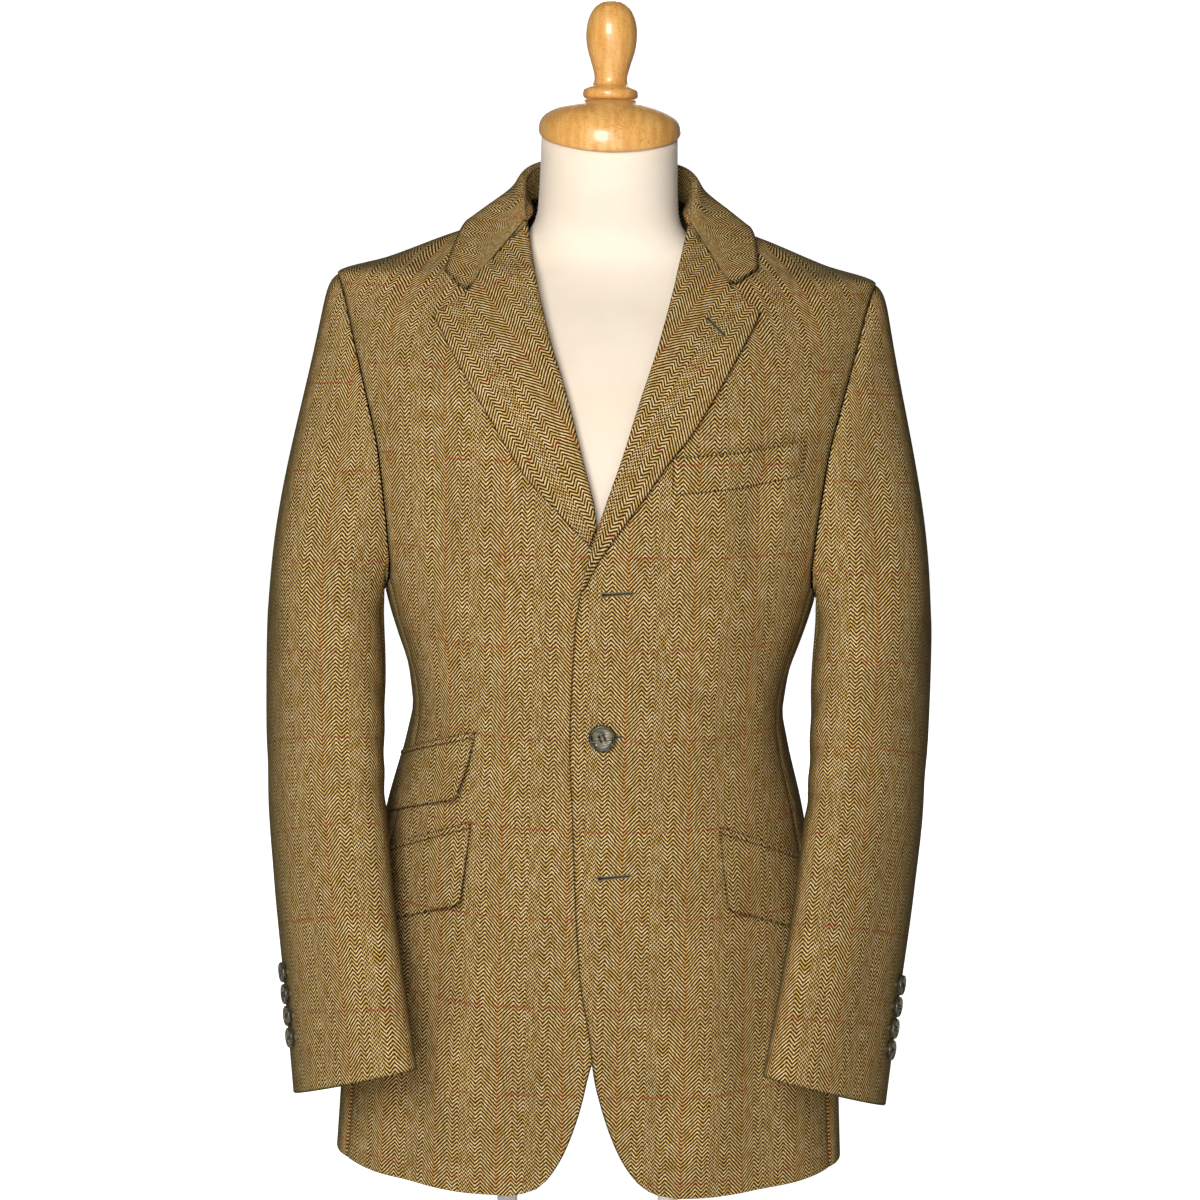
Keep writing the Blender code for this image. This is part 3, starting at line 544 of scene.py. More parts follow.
def fine_shares(count, edge=0.004):
    """Shares from 0 to 1, with a few close ones at both ends so that a cloth's edge stays crisp."""
    close = np.array([0.0, 0.12, 0.4, 1.0, 2.2]) * edge
    middle = np.linspace(close[-1] + 2 * edge, 1 - close[-1] - 2 * edge, count)
    return np.concatenate([close, middle, 1 - close[::-1]])


def grid_outward(points):
    """Directions square to a grid of points, rows by columns."""
    across = np.gradient(points, axis=1)
    along = np.gradient(points, axis=0)
    return unit(np.cross(across, along))


def edge_closeness(points):
    """How close each point of a grid is to the cloth's edge: 1 at the edge, 0 a millimetre inside."""
    closest = np.inf
    for axis in (0, 1):
        steps = np.linalg.norm(np.diff(points, axis=axis), axis=-1)
        pad = [(0, 0), (0, 0)]
        pad[axis] = (1, 0)
        from_start = np.pad(steps.cumsum(axis=axis), pad)
        to_end = np.take(from_start, [-1], axis=axis) - from_start
        closest = np.minimum(closest, np.minimum(from_start, to_end))
    return np.clip(1 - closest / EDGE_WIDTH, 0.0, 1.0)


def cloth_wall(name, outer, inner, uv, material, shown=1.0):
    """Close two grids of points into one wall of cloth. A line of painted shade darkens its edge, as much as
    shown gives.
    """
    rows, columns = outer.shape[:2]
    half = rows * columns
    index = np.arange(half).reshape(rows, columns)
    quads = np.stack([index[:-1, :-1], index[:-1, 1:], index[1:, 1:], index[1:, :-1]], axis=-1)
    quads = quads.reshape(-1, 4)
    rim = np.concatenate([index[0, :-1], index[:-1, -1], index[-1, :0:-1], index[:0:-1, 0]])
    inside = np.concatenate([index[1, :-1], index[:-1, -2], index[-2, :0:-1], index[:0:-1, 1]])
    flat_outer, flat_inner = outer.reshape(-1, 3), inner.reshape(-1, 3)
    thick = np.linalg.norm(flat_outer[rim] - flat_inner[rim], axis=-1, keepdims=True)
    away = unit(flat_outer[rim] - flat_outer[inside])
    turned_edge = 0.5 * (flat_outer[rim] + flat_inner[rim]) + EDGE_ROUND * thick * away
    edge = 2 * half + np.arange(len(rim))
    following = np.roll(np.arange(len(rim)), -1)
    faces = [tuple(face) for face in quads.tolist()]
    faces += [tuple(half + k for k in reversed(face)) for face in quads.tolist()]
    for a, b in zip(range(len(rim)), following):
        faces.append((int(rim[b]), int(rim[a]), int(edge[a]), int(edge[b])))
        faces.append((int(edge[b]), int(edge[a]), int(half + rim[a]), int(half + rim[b])))
    flat_uv = uv.reshape(-1, 2)
    points = np.vstack([flat_outer, flat_inner, turned_edge])
    piece = add_piece(name, points, faces, material, np.vstack([flat_uv, flat_uv, flat_uv[rim]]))
    # Painted shade along the cloth's edges, kept for the cloth's shader
    closeness = (edge_closeness(outer) * shown).ravel()
    shade = piece.data.attributes.new("painted_edge_shade", "FLOAT", "POINT")
    shade.data.foreach_set("value", np.concatenate([closeness, closeness, closeness[rim]]))
    return piece


# Herringbone repeat, in millimetres from a rust line: where each column of the weave ends, and how
# far the twill has climbed there. Six tiny columns in the middle, each half a step off from the
# last, make the speckled stripe.
COLUMN_ENDS = (
    (0.0, 0.0), (11.5, 11.5), (15.6, 7.4), (19.8, 11.6), (21.37, 10.03), (21.39, 8.63), (22.93, 10.2),
    (22.95, 11.6), (24.5, 10.03), (24.52, 8.63), (26.07, 10.2), (26.09, 11.6), (27.63, 10.03),
    (27.65, 8.63), (29.2, 10.2), (29.22, 11.6), (33.4, 7.4), (37.7, 11.5), (49.2, 0.0),
)
REPEAT_MM = 49.2
HIGHEST_CLIMB = 12.0
TWILL_STEEPNESS = 1.09
TWILL_PERIOD_MM = 3.05
RED_PERIOD_MM = 67.8
YARN_DARK = (33, 18, 1)
YARN_BROWN = (66, 42, 8)
YARN_LIGHT = (232, 203, 148)
YARN_GOLD = (200, 161, 86)
YARN_RUST = (200, 126, 52)
YARN_RUST_DARK = (112, 62, 20)
YARN_RED = (182, 72, 62)
YARN_RED_DARK = (106, 30, 27)
# Painted shade: the olive that cloth turned away from the eye darkens towards, and the dark of the painted
# line along cloth edges
PAINTED_SIDE_SHADE = (66, 58, 28)
EDGE_SHADE = (40, 32, 12)
SHEEN_TINT = (214, 196, 158)
WANDER_SCALE = 0.11
WANDER_MM = 1.5
FIBRE_SCALE = 1.6
FIBRE_STRENGTH = 3.4
# The twill's wave turns from dark to light yarn between these heights
LIGHT_FROM, LIGHT_TO = -0.30, 0.84
# Where each coloured line fades out, in millimetres from its middle, and how strong it is
RUST_FADE, RUST_STRENGTH = (0.3, 1.6), 0.44
RED_FADE, RED_STRENGTH = (0.3, 1.5), 0.56
RED_BREAKS = (0.37, 0.60)
PATCH_STRENGTH = 0.14
# Painted shade: from and to which turn away from the eye the cloth darkens towards olive, and how much
SIDE_SHADE_TURN, SIDE_SHADE_DARKENS = (0.42, 0.90), 0.80


def herringbone_group():
    """The weave as a node group: from a place on the cloth in metres to its colour and its relief."""
    group = bpy.data.node_groups.new("herringbone_weave", "ShaderNodeTree")
    group.interface.new_socket("Place", in_out="INPUT", socket_type="NodeSocketVector")
    group.interface.new_socket("Colour", in_out="OUTPUT", socket_type="NodeSocketColor")
    group.interface.new_socket("Relief", in_out="OUTPUT", socket_type="NodeSocketFloat")
    entry = place(group, "NodeGroupInput").outputs["Place"]
    to_mm = (1000.0, 1000.0, 0.0)
    millimetres = place(group, "ShaderNodeVectorMath", entry, to_mm, operation="MULTIPLY").outputs[0]
    wander = place(group, "ShaderNodeTexNoise", millimetres)
    wander.inputs["Scale"].default_value = WANDER_SCALE
    wander.inputs["Detail"].default_value = 3.0
    middle = (0.5, 0.5, 0.5)
    centred = place(group, "ShaderNodeVectorMath", wander.outputs["Color"], middle, operation="SUBTRACT")
    swayed = place(group, "ShaderNodeVectorMath", centred.outputs[0], operation="SCALE")
    swayed.inputs["Scale"].default_value = WANDER_MM
    cloth = place(group, "ShaderNodeVectorMath", millimetres, swayed.outputs[0], operation="ADD").outputs[0]
    axes = place(group, "ShaderNodeSeparateXYZ", cloth)
    across, along = axes.outputs["X"], axes.outputs["Y"]

    turn = sums(group, "FRACT", sums(group, "DIVIDE", across, REPEAT_MM))
    chart = place(group, "ShaderNodeValToRGB", turn)
    ramp = chart.color_ramp
    while len(ramp.elements) < len(COLUMN_ENDS):
        ramp.elements.new(0.5)
    for stop, (end, climb) in zip(ramp.elements, COLUMN_ENDS):
        stop.position = end / REPEAT_MM
        share = climb / HIGHEST_CLIMB
        stop.color = (share, share, share, 1.0)
    climb = sums(group, "MULTIPLY", chart.outputs["Color"], HIGHEST_CLIMB * TWILL_STEEPNESS)
    phase = sums(group, "DIVIDE", sums(group, "SUBTRACT", along, climb), TWILL_PERIOD_MM)
    wave = sums(group, "SINE", sums(group, "MULTIPLY", phase, 2 * math.pi))
    fibres = noise(group, cloth, FIBRE_SCALE, 3.0, 0.65)
    fuzz = sums(group, "MULTIPLY_ADD", fibres, FIBRE_STRENGTH, -FIBRE_STRENGTH / 2)
    light = ease(group, sums(group, "ADD", wave, fuzz), LIGHT_FROM, LIGHT_TO)

    tone = noise(group, stretch(group, cloth, (1.0, 0.16, 1.0)), 0.55, 2.0)
    pale = mixed(group, ease(group, tone, 0.36, 0.64), YARN_GOLD, YARN_LIGHT)
    deep = mixed(group, ease(group, fibres, 0.35, 0.68), YARN_DARK, YARN_BROWN)
    from_rust = sums(group, "MULTIPLY", sums(group, "PINGPONG", turn, 0.5), REPEAT_MM)
    rust = sums(group, "MULTIPLY", ease(group, from_rust, *RUST_FADE, 1.0, 0.0), RUST_STRENGTH)
    pale = mixed(group, rust, pale, YARN_RUST)
    deep = mixed(group, rust, deep, YARN_RUST_DARK)
    turn_red = sums(group, "FRACT", sums(group, "ADD", sums(group, "DIVIDE", along, RED_PERIOD_MM), 0.5))
    off_red = sums(group, "ABSOLUTE", sums(group, "SUBTRACT", turn_red, 0.5))
    from_red = sums(group, "MULTIPLY", off_red, RED_PERIOD_MM)
    broken = ease(group, noise(group, stretch(group, cloth, (1.0, 0.2, 1.0)), 0.16, 1.0), *RED_BREAKS)
    red = sums(group, "MULTIPLY", ease(group, from_red, *RED_FADE, RED_STRENGTH, 0.0), broken)
    pale = mixed(group, red, pale, YARN_RED)
    deep = mixed(group, red, deep, YARN_RED_DARK)
    patch = ease(group, noise(group, cloth, 0.022, 2.0), 0.3, 0.7, 0.0, PATCH_STRENGTH)
    colour = mixed(group, patch, mixed(group, light, deep, pale), YARN_BROWN)
    relief = sums(group, "ADD", sums(group, "MULTIPLY", wave, 0.5), fibres)
    place(group, "NodeGroupOutput", colour, relief)
    return group


def tweed_finish():
    material, tree, shader = new_finish("herringbone_tweed", 0.92, Sheen_Weight=0.02, Sheen_Roughness=0.45)
    shader.inputs["Sheen Tint"].default_value = linear(SHEEN_TINT)
    shader.inputs["Specular IOR Level"].default_value = 0.06
    weave = tree.nodes.new("ShaderNodeGroup")
    weave.node_tree = herringbone_group()
    tree.links.new(place(tree, "ShaderNodeUVMap", uv_map="cloth").outputs["UV"], weave.inputs["Place"])
    # Painted shade: the colour darkens towards olive where the cloth turns away from the eye
    facing = place(tree, "ShaderNodeLayerWeight").outputs["Facing"]
    turned_away = ease(tree, facing, *SIDE_SHADE_TURN, 0.0, SIDE_SHADE_DARKENS)
    side_shaded = mixed(tree, turned_away, weave.outputs["Colour"], PAINTED_SIDE_SHADE)
    # Painted shade: a dark line along the cloth's edges, as the pieces give it
    edge = place(tree, "ShaderNodeAttribute", attribute_name="painted_edge_shade").outputs["Fac"]
    shaded = mixed(tree, sums(tree, "MULTIPLY", edge, EDGE_SHADE_STRENGTH), side_shaded, EDGE_SHADE)
    tree.links.new(shaded, shader.inputs["Base Color"])
    raise_bump(tree, shader, weave.outputs["Relief"], 0.0004, 0.6)
    return material


tweed = tweed_finish()
armhole_front, armhole_back = table_curve(ARMHOLE, 1), table_curve(ARMHOLE, 2)


def row_heights(top_z):
    """Heights of a panel's rows: close at the hem and over the shoulder, even between."""
    hem = HEM_Z + np.array(HEM_ROWS)
    body = np.arange(HEM_Z + BODY_ROWS_FROM, SHOULDER_Z - BODY_ROWS_STOP, FRONT_ROW_STEP)
    shoulder = np.arange(SHOULDER_Z - SHOULDER_ROWS_FROM, top_z - TOP_ROWS_STOP, SHOULDER_ROW_STEP)
    return np.concatenate([hem, body, shoulder, [top_z - TOP_EDGE_ROW, top_z]])


def seam_dip(off):
    """A sewn edge sinks a little towards its seam."""
    return -SEAM_DIP * np.exp(-(off / SEAM_DIP_WIDTH) ** 2)


def hang_panel(name, angle, z, lift, uv, shown):
    """A panel of the body, from its places round the form and how far each stands off."""
    piece = cloth_wall(name, on_torso(angle, z, lift), on_torso(angle, z, lift - WALL), uv, tweed, shown)
    return piece


def build_front(side, edge, name):
    z = row_heights(FRONT_TOP_Z)[:, None]
    under_collar = np.clip((z - NECK_CUT_FROM_Z) / (FRONT_TOP_Z - NECK_CUT_FROM_Z), 0.0, None)
    inside = front_angle(table_curve(edge, 1)(z) + side * NECK_CUT * under_collar, z)
    seam = side * armhole_front(z)
    outside = seam - side * seam_turn(seam, z, SEAM_GAP / 2)
    shares = fine_shares(PANEL_COLUMNS)[None, :]
    angle = inside + (outside - inside) * shares
    z = z + 0 * angle
    to_seam = np.abs(round_length(angle, z, 0.0) - round_length(outside + 0 * angle, z, 0.0))
    lift = front_lift(side, angle, z) + seam_dip(to_seam)
    uv = front_uv(side, angle, z)
    seam_shown = np.where(z < ARMHOLE[0][0], SEAM_SHOWN, ARMHOLE_SHOWN)
    shown = np.where((shares > 0.5) & (z > HEM_Z + HEM_BAND), seam_shown, 1.0)
    return hang_panel(name, angle, z, lift, uv, shown)


front_panel_left = build_front(1, EDGE_LEFT, "tweed_front_left")
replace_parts(front_panel_left, "front_left")
front_panel_right = build_front(-1, EDGE_RIGHT, "tweed_front_right")
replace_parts(front_panel_right, "front_right")

# Side bodies
# A narrow panel of the same tweed under each arm. It is sewn to the front and to the back,
# and its hollowed top is the bottom of the armhole.
PIT_Z = 0.570
SIDE_TOP_Z = 0.585
SIDE_COLUMNS = 22
SIDE_ROWS = 60
SIDE_ROW_EDGE = 0.0016
# Columns: round the body from under the arm, z, the other end, half width, height
SIDE_CREASES = (
    (0.010, 0.330, 0.018, 0.128, 0.022, -0.0036),
    (-0.030, 0.300, -0.036, 0.128, 0.018, 0.0026),
    (-0.020, 0.520, 0.022, 0.500, 0.011, -0.0016),
    (-0.022, 0.486, 0.024, 0.474, 0.010, -0.0013),
)


def build_side(side, name):
    low, high = ARMHOLE[0][1:]
    middle, half = (low + high) / 2, (high - low) / 2
    shares = fine_shares(SIDE_COLUMNS)[None, :]
    rise = fine_shares(SIDE_ROWS, SIDE_ROW_EDGE)[:, None]
    angle = low + (high - low) * shares
    top = PIT_Z + (SIDE_TOP_Z - PIT_Z) * ((angle - middle) / half) ** 2
    z = HEM_Z + (top - HEM_Z) * rise
    inset = seam_turn(angle, z, SEAM_GAP / 2) * (1 - 2 * shares)
    angle = side * (angle + inset)
    along = round_length(angle, z, 90.0 * side) * side
    to_seam = np.minimum(shares, 1 - shares) * np.ptp(along, axis=1)[:, None]
    lift = creases(SIDE_CREASES, along, z) + seam_dip(to_seam)
    uv = np.stack([along, up_length(z)], axis=-1)
    shown = np.where(z > HEM_Z + HEM_BAND, SEAM_SHOWN, 1.0)
    return hang_panel(name, angle, z, lift, uv, shown)


for side, hand in ((1, "left"), (-1, "right")):
    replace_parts(build_side(side, f"tweed_side_{hand}"), f"side_{hand}")

# Backs
# Two half backs joined by the centre seam, which is left open as a single vent below the waist.
# They meet the side bodies under the arms and the fronts along the shoulder seams.
VENT_TOP_Z = 0.350
VENT_HALF_OPEN = 0.0130
NECK_BACK_Z = 0.864
# Columns: round the body from the centre back, z, the other end, half width, height
BACK_CREASES = (
    (0.060, 0.330, 0.074, 0.128, 0.022, -0.0036),
    (0.105, 0.310, 0.122, 0.128, 0.024, 0.0032),
    (0.148, 0.300, 0.160, 0.128, 0.016, -0.0024),
    (0.118, 0.720, 0.110, 0.600, 0.015, -0.0036),
    (0.090, 0.690, 0.088, 0.580, 0.020, 0.0020),
    (0.020, 0.520, 0.110, 0.536, 0.010, -0.0016),
    (0.018, 0.470, 0.096, 0.456, 0.011, -0.0014),
    (0.026, 0.842, 0.100, 0.824, 0.007, -0.0010),
    (0.004, 0.800, 0.004, 0.380, 0.012, -0.0012),
)
BACK_UNEVEN = 0.82


def build_back(side, name):
    z = row_heights(NECK_BACK_Z)[:, None]
    seam = armhole_back(z)
    outside = seam + seam_turn(seam, z, SEAM_GAP / 2)
    vent = VENT_HALF_OPEN * np.clip((VENT_TOP_Z - z) / (VENT_TOP_Z - HEM_Z), 0.0, None)
    inside = 180.0 - seam_turn(180.0, z, SEAM_GAP / 2 + vent)
    shares = fine_shares(PANEL_COLUMNS)[None, :]
    angle = outside + (inside - outside) * shares
    z = z + 0 * angle
    along = np.abs(round_length(angle, z, 180.0))
    to_side = np.abs(along - along[:, :1])
    to_middle = np.where(z > VENT_TOP_Z, along, 1.0)
    uneven = 1.0 if side > 0 else BACK_UNEVEN
    lift = uneven * creases(BACK_CREASES, along, z) + seam_dip(to_side) + seam_dip(to_middle)
    uv = np.stack([side * along, up_length(z, behind=True)], axis=-1)
    angle = side * angle
    shown = np.where((shares < 0.5) & (z < ARMHOLE[0][0]) & (z > HEM_Z + HEM_BAND), SEAM_SHOWN, 1.0)
    return hang_panel(name, angle, z, lift, uv, shown)


for side, hand in ((1, "left"), (-1, "right")):
    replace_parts(build_back(side, f"tweed_back_{hand}"), f"back_{hand}")

# Lapels
# The tops of the fronts, turned back over a soft roll and pressed on the chest. Each has a straight
# notch edge under the collar's end, and its weave runs along its outer edge.
LAPEL_WALL = 0.0020
LAPEL_LIFT = 0.0046
UNDER_COLLAR_LIFT = 0.0024
ROLL_RADIUS = 0.0036
ROLL_RADIUS_LOW = 0.0016
ROLL_GROWS_OVER = 0.06
ROLL_REACH = 0.72
ROLL_STEPS = 9
ROLL_BEND = (-70.0, 90.0)
ROLL_FLATTENS = 2.2
LAPEL_COLUMNS = 26
LAPEL_FOOT_ROW = 0.0005
LAPEL_TIP_ROW = 0.0006
LAPEL_ROWS_FROM = 0.002
LAPEL_ROWS_STOP = 0.001
# Columns: z, x of the lapel's outer edge up to its tip, then its notch edge and gorge seam
LAPEL_LEFT = (
    (0.5925, -0.0118), (0.6071, -0.0052), (0.6204, 0.0026), (0.6325, 0.0108), (0.6603, 0.0305),
    (0.6869, 0.0484), (0.7049, 0.0631), (0.7335, 0.0810), (0.7623, 0.0976), (0.7820, 0.1092),
    (0.7900, 0.1126),
)
NOTCH_LEFT = ((0.7900, 0.1126), (0.8078, 0.0900), (0.8320, 0.0830), (0.8580, 0.0715))
LAPEL_RIGHT = (
    (0.6250, -0.0085), (0.6390, -0.0226), (0.6525, -0.0353), (0.6718, -0.0541), (0.7003, -0.0733),
    (0.7297, -0.0927), (0.7578, -0.1106), (0.7770, -0.1224), (0.7820, -0.1260),
)
NOTCH_RIGHT = ((0.7820, -0.1260), (0.8008, -0.1008), (0.8320, -0.0830), (0.8580, -0.0715))
LAPEL_ROW_STEP = 0.0035
GORGE_ROW_STEP = 0.0015
GORGE_SINKS_OVER = 0.0030
GORGE_LAP = 0.0018
# The gorge seam's two ends: x, z at the notch's corner and at the roll line, on the left side
GORGE_LEFT = ((0.0915, 0.8097), (0.0605, 0.8470))
GORGE_RIGHT = ((0.1022, 0.8026), (0.0605, 0.8470))
LAPEL_RUST_LINE = 0.0065
edge_left_x, edge_right_x = table_curve(EDGE_LEFT, 1), table_curve(EDGE_RIGHT, 1)


def under_collar(x, z, gorge):
    """How far a lapel has sunk under the collar: 0 up to the gorge seam, then soon 1."""
    (corner_x, corner_z), (top_x, top_z) = gorge
    run = np.array([top_x - corner_x, top_z - corner_z])
    beyond = ((np.abs(x) - corner_x) * run[1] - (z - corner_z) * run[0]) / np.linalg.norm(run)
    t = np.clip((beyond - GORGE_LAP) / GORGE_SINKS_OVER, 0.0, 1.0) * (z > corner_z - GORGE_SINKS_OVER)
    return t * t * (3 - 2 * t)


def build_lapel(side, edge_x, outline, notch, gorge, name):
    tip_z = outline[-1][0]
    top_z = notch[-1][0]
    low_z = outline[0][0]
    low_rows = np.arange(low_z + LAPEL_ROWS_FROM, tip_z - LAPEL_ROWS_STOP, LAPEL_ROW_STEP)
    low_rows = np.concatenate([[low_z, low_z + LAPEL_FOOT_ROW], low_rows])
    tip_rows = [tip_z - LAPEL_TIP_ROW, tip_z, tip_z + LAPEL_TIP_ROW]
    high_rows = np.arange(tip_z + LAPEL_ROWS_FROM, top_z - LAPEL_ROWS_STOP, GORGE_ROW_STEP)
    z = np.concatenate([low_rows, tip_rows, high_rows, [top_z]])[:, None]
    notch_x = np.interp(z, [row[0] for row in notch], [row[1] for row in notch])
    outer_x = np.where(z <= tip_z, table_curve(outline, 1)(z), notch_x)
    soft = np.clip((z - low_z) / ROLL_GROWS_OVER, 0.0, 1.0)
    radius = ROLL_RADIUS_LOW + (ROLL_RADIUS - ROLL_RADIUS_LOW) * soft * (2 - soft)
    roll_x = edge_x(z) - side * ROLL_REACH * radius
    if side < 0:
        roll_x = np.minimum(roll_x, edge_left_x(z) - ROLL_RADIUS)
    bend = np.radians(np.linspace(*ROLL_BEND, ROLL_STEPS))[None, :]
    roll = roll_x + side * (radius - radius * np.cos(bend))
    roll_lift = radius * (1 + np.sin(bend))
    shares = fine_shares(LAPEL_COLUMNS)[None, 3:]
    flat_start = roll_x + side * radius
    flat = flat_start + (outer_x - flat_start) * shares
    edge_lift = LAPEL_LIFT * (0.5 + 0.5 * soft)
    flat_lift = edge_lift + (2 * radius - edge_lift) * (1 - shares) ** ROLL_FLATTENS
    x = np.concatenate([roll, flat], axis=1)
    z = z + 0 * x
    angle = front_angle(x, z)
    lift = np.concatenate([roll_lift + 0 * roll, flat_lift + 0 * flat], axis=1)
    lift = lift + under_collar(x, z, gorge) * (np.minimum(lift, UNDER_COLLAR_LIFT) - lift)
    lift = lift + front_lift(side, angle, z)
    outer = on_torso(angle, z, lift)
    inner = outer - LAPEL_WALL * side * grid_outward(outer)
    foot, tip = outer[len(low_rows) // 3, -1], outer[len(low_rows) + 1, -1]
    up_edge = unit(tip - foot)
    inward = unit(np.cross(torso_outward(angle, z)[len(low_rows), -12], up_edge)) * side
    along = (outer - tip) @ up_edge
    across = -(outer - tip) @ inward
    uv = np.stack([across - LAPEL_RUST_LINE, along], axis=-1)
    piece = cloth_wall(name, outer, inner, uv, tweed)
    return piece


lapel_face_left = build_lapel(1, edge_left_x, LAPEL_LEFT, NOTCH_LEFT, GORGE_LEFT, "tweed_lapel_left")
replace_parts(lapel_face_left, "lapel_left")
lapel_face_right = build_lapel(-1, edge_right_x, LAPEL_RIGHT, NOTCH_RIGHT, GORGE_RIGHT, "tweed_lapel_right")
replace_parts(lapel_face_right, "lapel_right")

# Collar
# One folded piece: the stand goes up round the neck, the fall turns down over it and lies on the
# shoulders. Its short front edges make the notches, and gorge seams join it to the lapels.
# Columns: angle and z of the fall's edge, fold's x, y, z, stand's foot x, y, z
COLLAR = (
    (180.0, 0.8500, 0.0000, 0.0830, 0.9010, 0.0000, 0.0770, 0.8665),
    (138.0, 0.8510, 0.0425, 0.0700, 0.8985, 0.0400, 0.0660, 0.8670),
    (94.0, 0.8500, 0.0610, 0.0370, 0.8885, 0.0575, 0.0350, 0.8680),
    (68.0, 0.8430, 0.0620, 0.0060, 0.8680, 0.0570, 0.0090, 0.8590),
)
# Columns: x and z of the tip, of the notch's inner corner, of the gorge seam and of the fold
COLLAR_END_LEFT = ((0.1118, 0.8192), (0.0915, 0.8097), (0.0776, 0.8265), (0.0605, 0.8470))
COLLAR_END_RIGHT = ((-0.1195, 0.8138), (-0.1022, 0.8026), (-0.0834, 0.8235), (-0.0605, 0.8470))
COLLAR_WALL = 0.0022
COLLAR_LIFT = 0.0054
COLLAR_GORGE_LIFT = 0.0062
COLLAR_END_LIFT = 0.0072
FALL_BULGE = 0.0006
FOLD_RADIUS = 0.0038
END_FOLD_RADIUS = 0.0020
NECK_AXIS_Y = 0.030
NECK_AXIS_DROP = 0.02
FALL_SHARES = (0.36, 0.70)
END_STAND = 0.016
COLLAR_STATIONS_FINE = 22
COLLAR_ACROSS_FINE = 7


def collar_section(edge, quarter, half, fold, seat=None, radius=FOLD_RADIUS):
    """Points across the collar: the fall, the rolled fold and the stand."""
    up = unit(fold - half)
    out = fold - np.array([0.0, NECK_AXIS_Y, fold[2] - NECK_AXIS_DROP])
    out = unit(out - np.dot(out, up) * up)
    fold_out = fold - radius * up + radius * out
    fold_in = fold - radius * up - radius * out
    if seat is None:
        seat = fold_in - END_STAND * up
    return np.array([edge, quarter, half, fold_out, fold, fold_in, 0.5 * (fold_in + seat), seat])


def collar_station(row, side):
    edge_angle, edge_z, *rest = row
    fold, seat = np.array(rest[:3]), np.array(rest[3:])
    edge = on_torso(edge_angle, edge_z, COLLAR_LIFT)
    bulge = FALL_BULGE * torso_outward(edge_angle, edge_z)
    mirror = np.array([side, 1.0, 1.0])
    quarter, half = (edge + (fold - edge) * share + bulge for share in FALL_SHARES)
    points = (edge, quarter, half, fold, seat)
    return collar_section(*(point * mirror for point in points))


def collar_end(corners):
    lifts = (COLLAR_LIFT, COLLAR_LIFT, COLLAR_GORGE_LIFT, COLLAR_END_LIFT)
    points = [on_torso(front_angle(x, z), z, lift) for (x, z), lift in zip(corners, lifts)]
    return collar_section(*points, radius=END_FOLD_RADIUS)


def build_collar(name):
    right = [collar_end(COLLAR_END_RIGHT)] + [collar_station(row, -1) for row in COLLAR[:0:-1]]
    left = [collar_station(row, 1) for row in COLLAR[1:]] + [collar_end(COLLAR_END_LEFT)]
    stations = np.array(right + [collar_station(COLLAR[0], 1)] + left)
    long_way = smooth_path(stations.reshape(len(stations), -1), COLLAR_STATIONS_FINE)
    long_way = long_way.reshape(len(long_way), stations.shape[1], 3)
    outer = np.array([smooth_path(section, COLLAR_ACROSS_FINE) for section in long_way]).swapaxes(0, 1)
    inner = outer + COLLAR_WALL * grid_outward(outer)
    along = np.cumsum(np.linalg.norm(np.diff(outer, axis=1, prepend=outer[:, :1]), axis=-1), axis=1)
    centre = along[:, along.shape[1] // 2, None]
    across = np.cumsum(np.linalg.norm(np.diff(outer, axis=0, prepend=outer[:1]), axis=-1), axis=0)
    uv = np.stack([along - centre, across], axis=-1)
    piece = cloth_wall(name, outer, inner, uv, tweed)
    return piece


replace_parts(build_collar("tweed_collar"), "collar")

# Sleeves
# Two-piece sleeves: an upper and an under sleeve, sewn along the back and the front of the arm. The
# head is eased into the armhole with a little fullness, and the empty sleeve hangs bent forward.
# Columns: z, x, y, long half axis, short half axis, turn of the long axis, drop of its outer end
SLEEVE = (
    (0.218, 0.1760, -0.122, 0.0655, 0.0300, 48.0, 0.025),
    (0.290, 0.1870, -0.100, 0.0670, 0.0320, 53.0, 0.022),
    (0.360, 0.1975, -0.076, 0.0690, 0.0350, 57.0, 0.016),
    (0.447, 0.2074, -0.038, 0.0710, 0.0385, 61.0, 0.008),
    (0.520, 0.2092, -0.018, 0.0720, 0.0425, 68.0, 0.003),
    (0.550, 0.2100, -0.012, 0.0730, 0.0430, 72.0, 0.000),
)
HEAD_PUFF = 0.0075
HEAD_RISE = 0.03
HEAD_INSET = 0.0014
HEAD_UNDER_SHARE = 0.45
HEAD_DIRECTION_STEP = 0.01
HINDARM = 25.0
FOREARM = 232.0
SLEEVE_GAP_DEGREES = 0.20
SLEEVE_TOP_Z, CUFF_Z = SLEEVE[-1][0], SLEEVE[0][0]
SLEEVE_COLUMNS_FINE = 60
SLEEVE_RUST_TURN = 136.0
SLEEVE_RUST_STEP = 1.45
SLEEVE_RED_DROP = 0.0155
# The share of the arm's sideways lean that the grain follows
GRAIN_LEAN = 0.45
FIT_COLUMNS = 30
FIT_ROWS = 26
AXIS_STEP = 0.004
# Rows along the sleeve: close ones at the head, even ones, close ones at the cuff
HEAD_ROWS = (0.0, 0.005, 0.012, 0.022, 0.036, 0.055, 0.08, 0.11, 0.145)
ARM_ROWS = (0.18, 1.96, 92)
CUFF_ROWS = (1.975, 1.988, 1.995, 1.9985, 2.0)
CUFF_EDGE_STEP = 1.99
# What one degree round the arm and one step along it measure, for the creases
DEGREE_LENGTH = 0.058 * np.pi / 180
STEP_LENGTH = 0.34
SLEEVE_CREASE_ENDS = 0.4
CREASES_FADE_IN = 0.2
SLEEVE_UNEVEN = 0.85
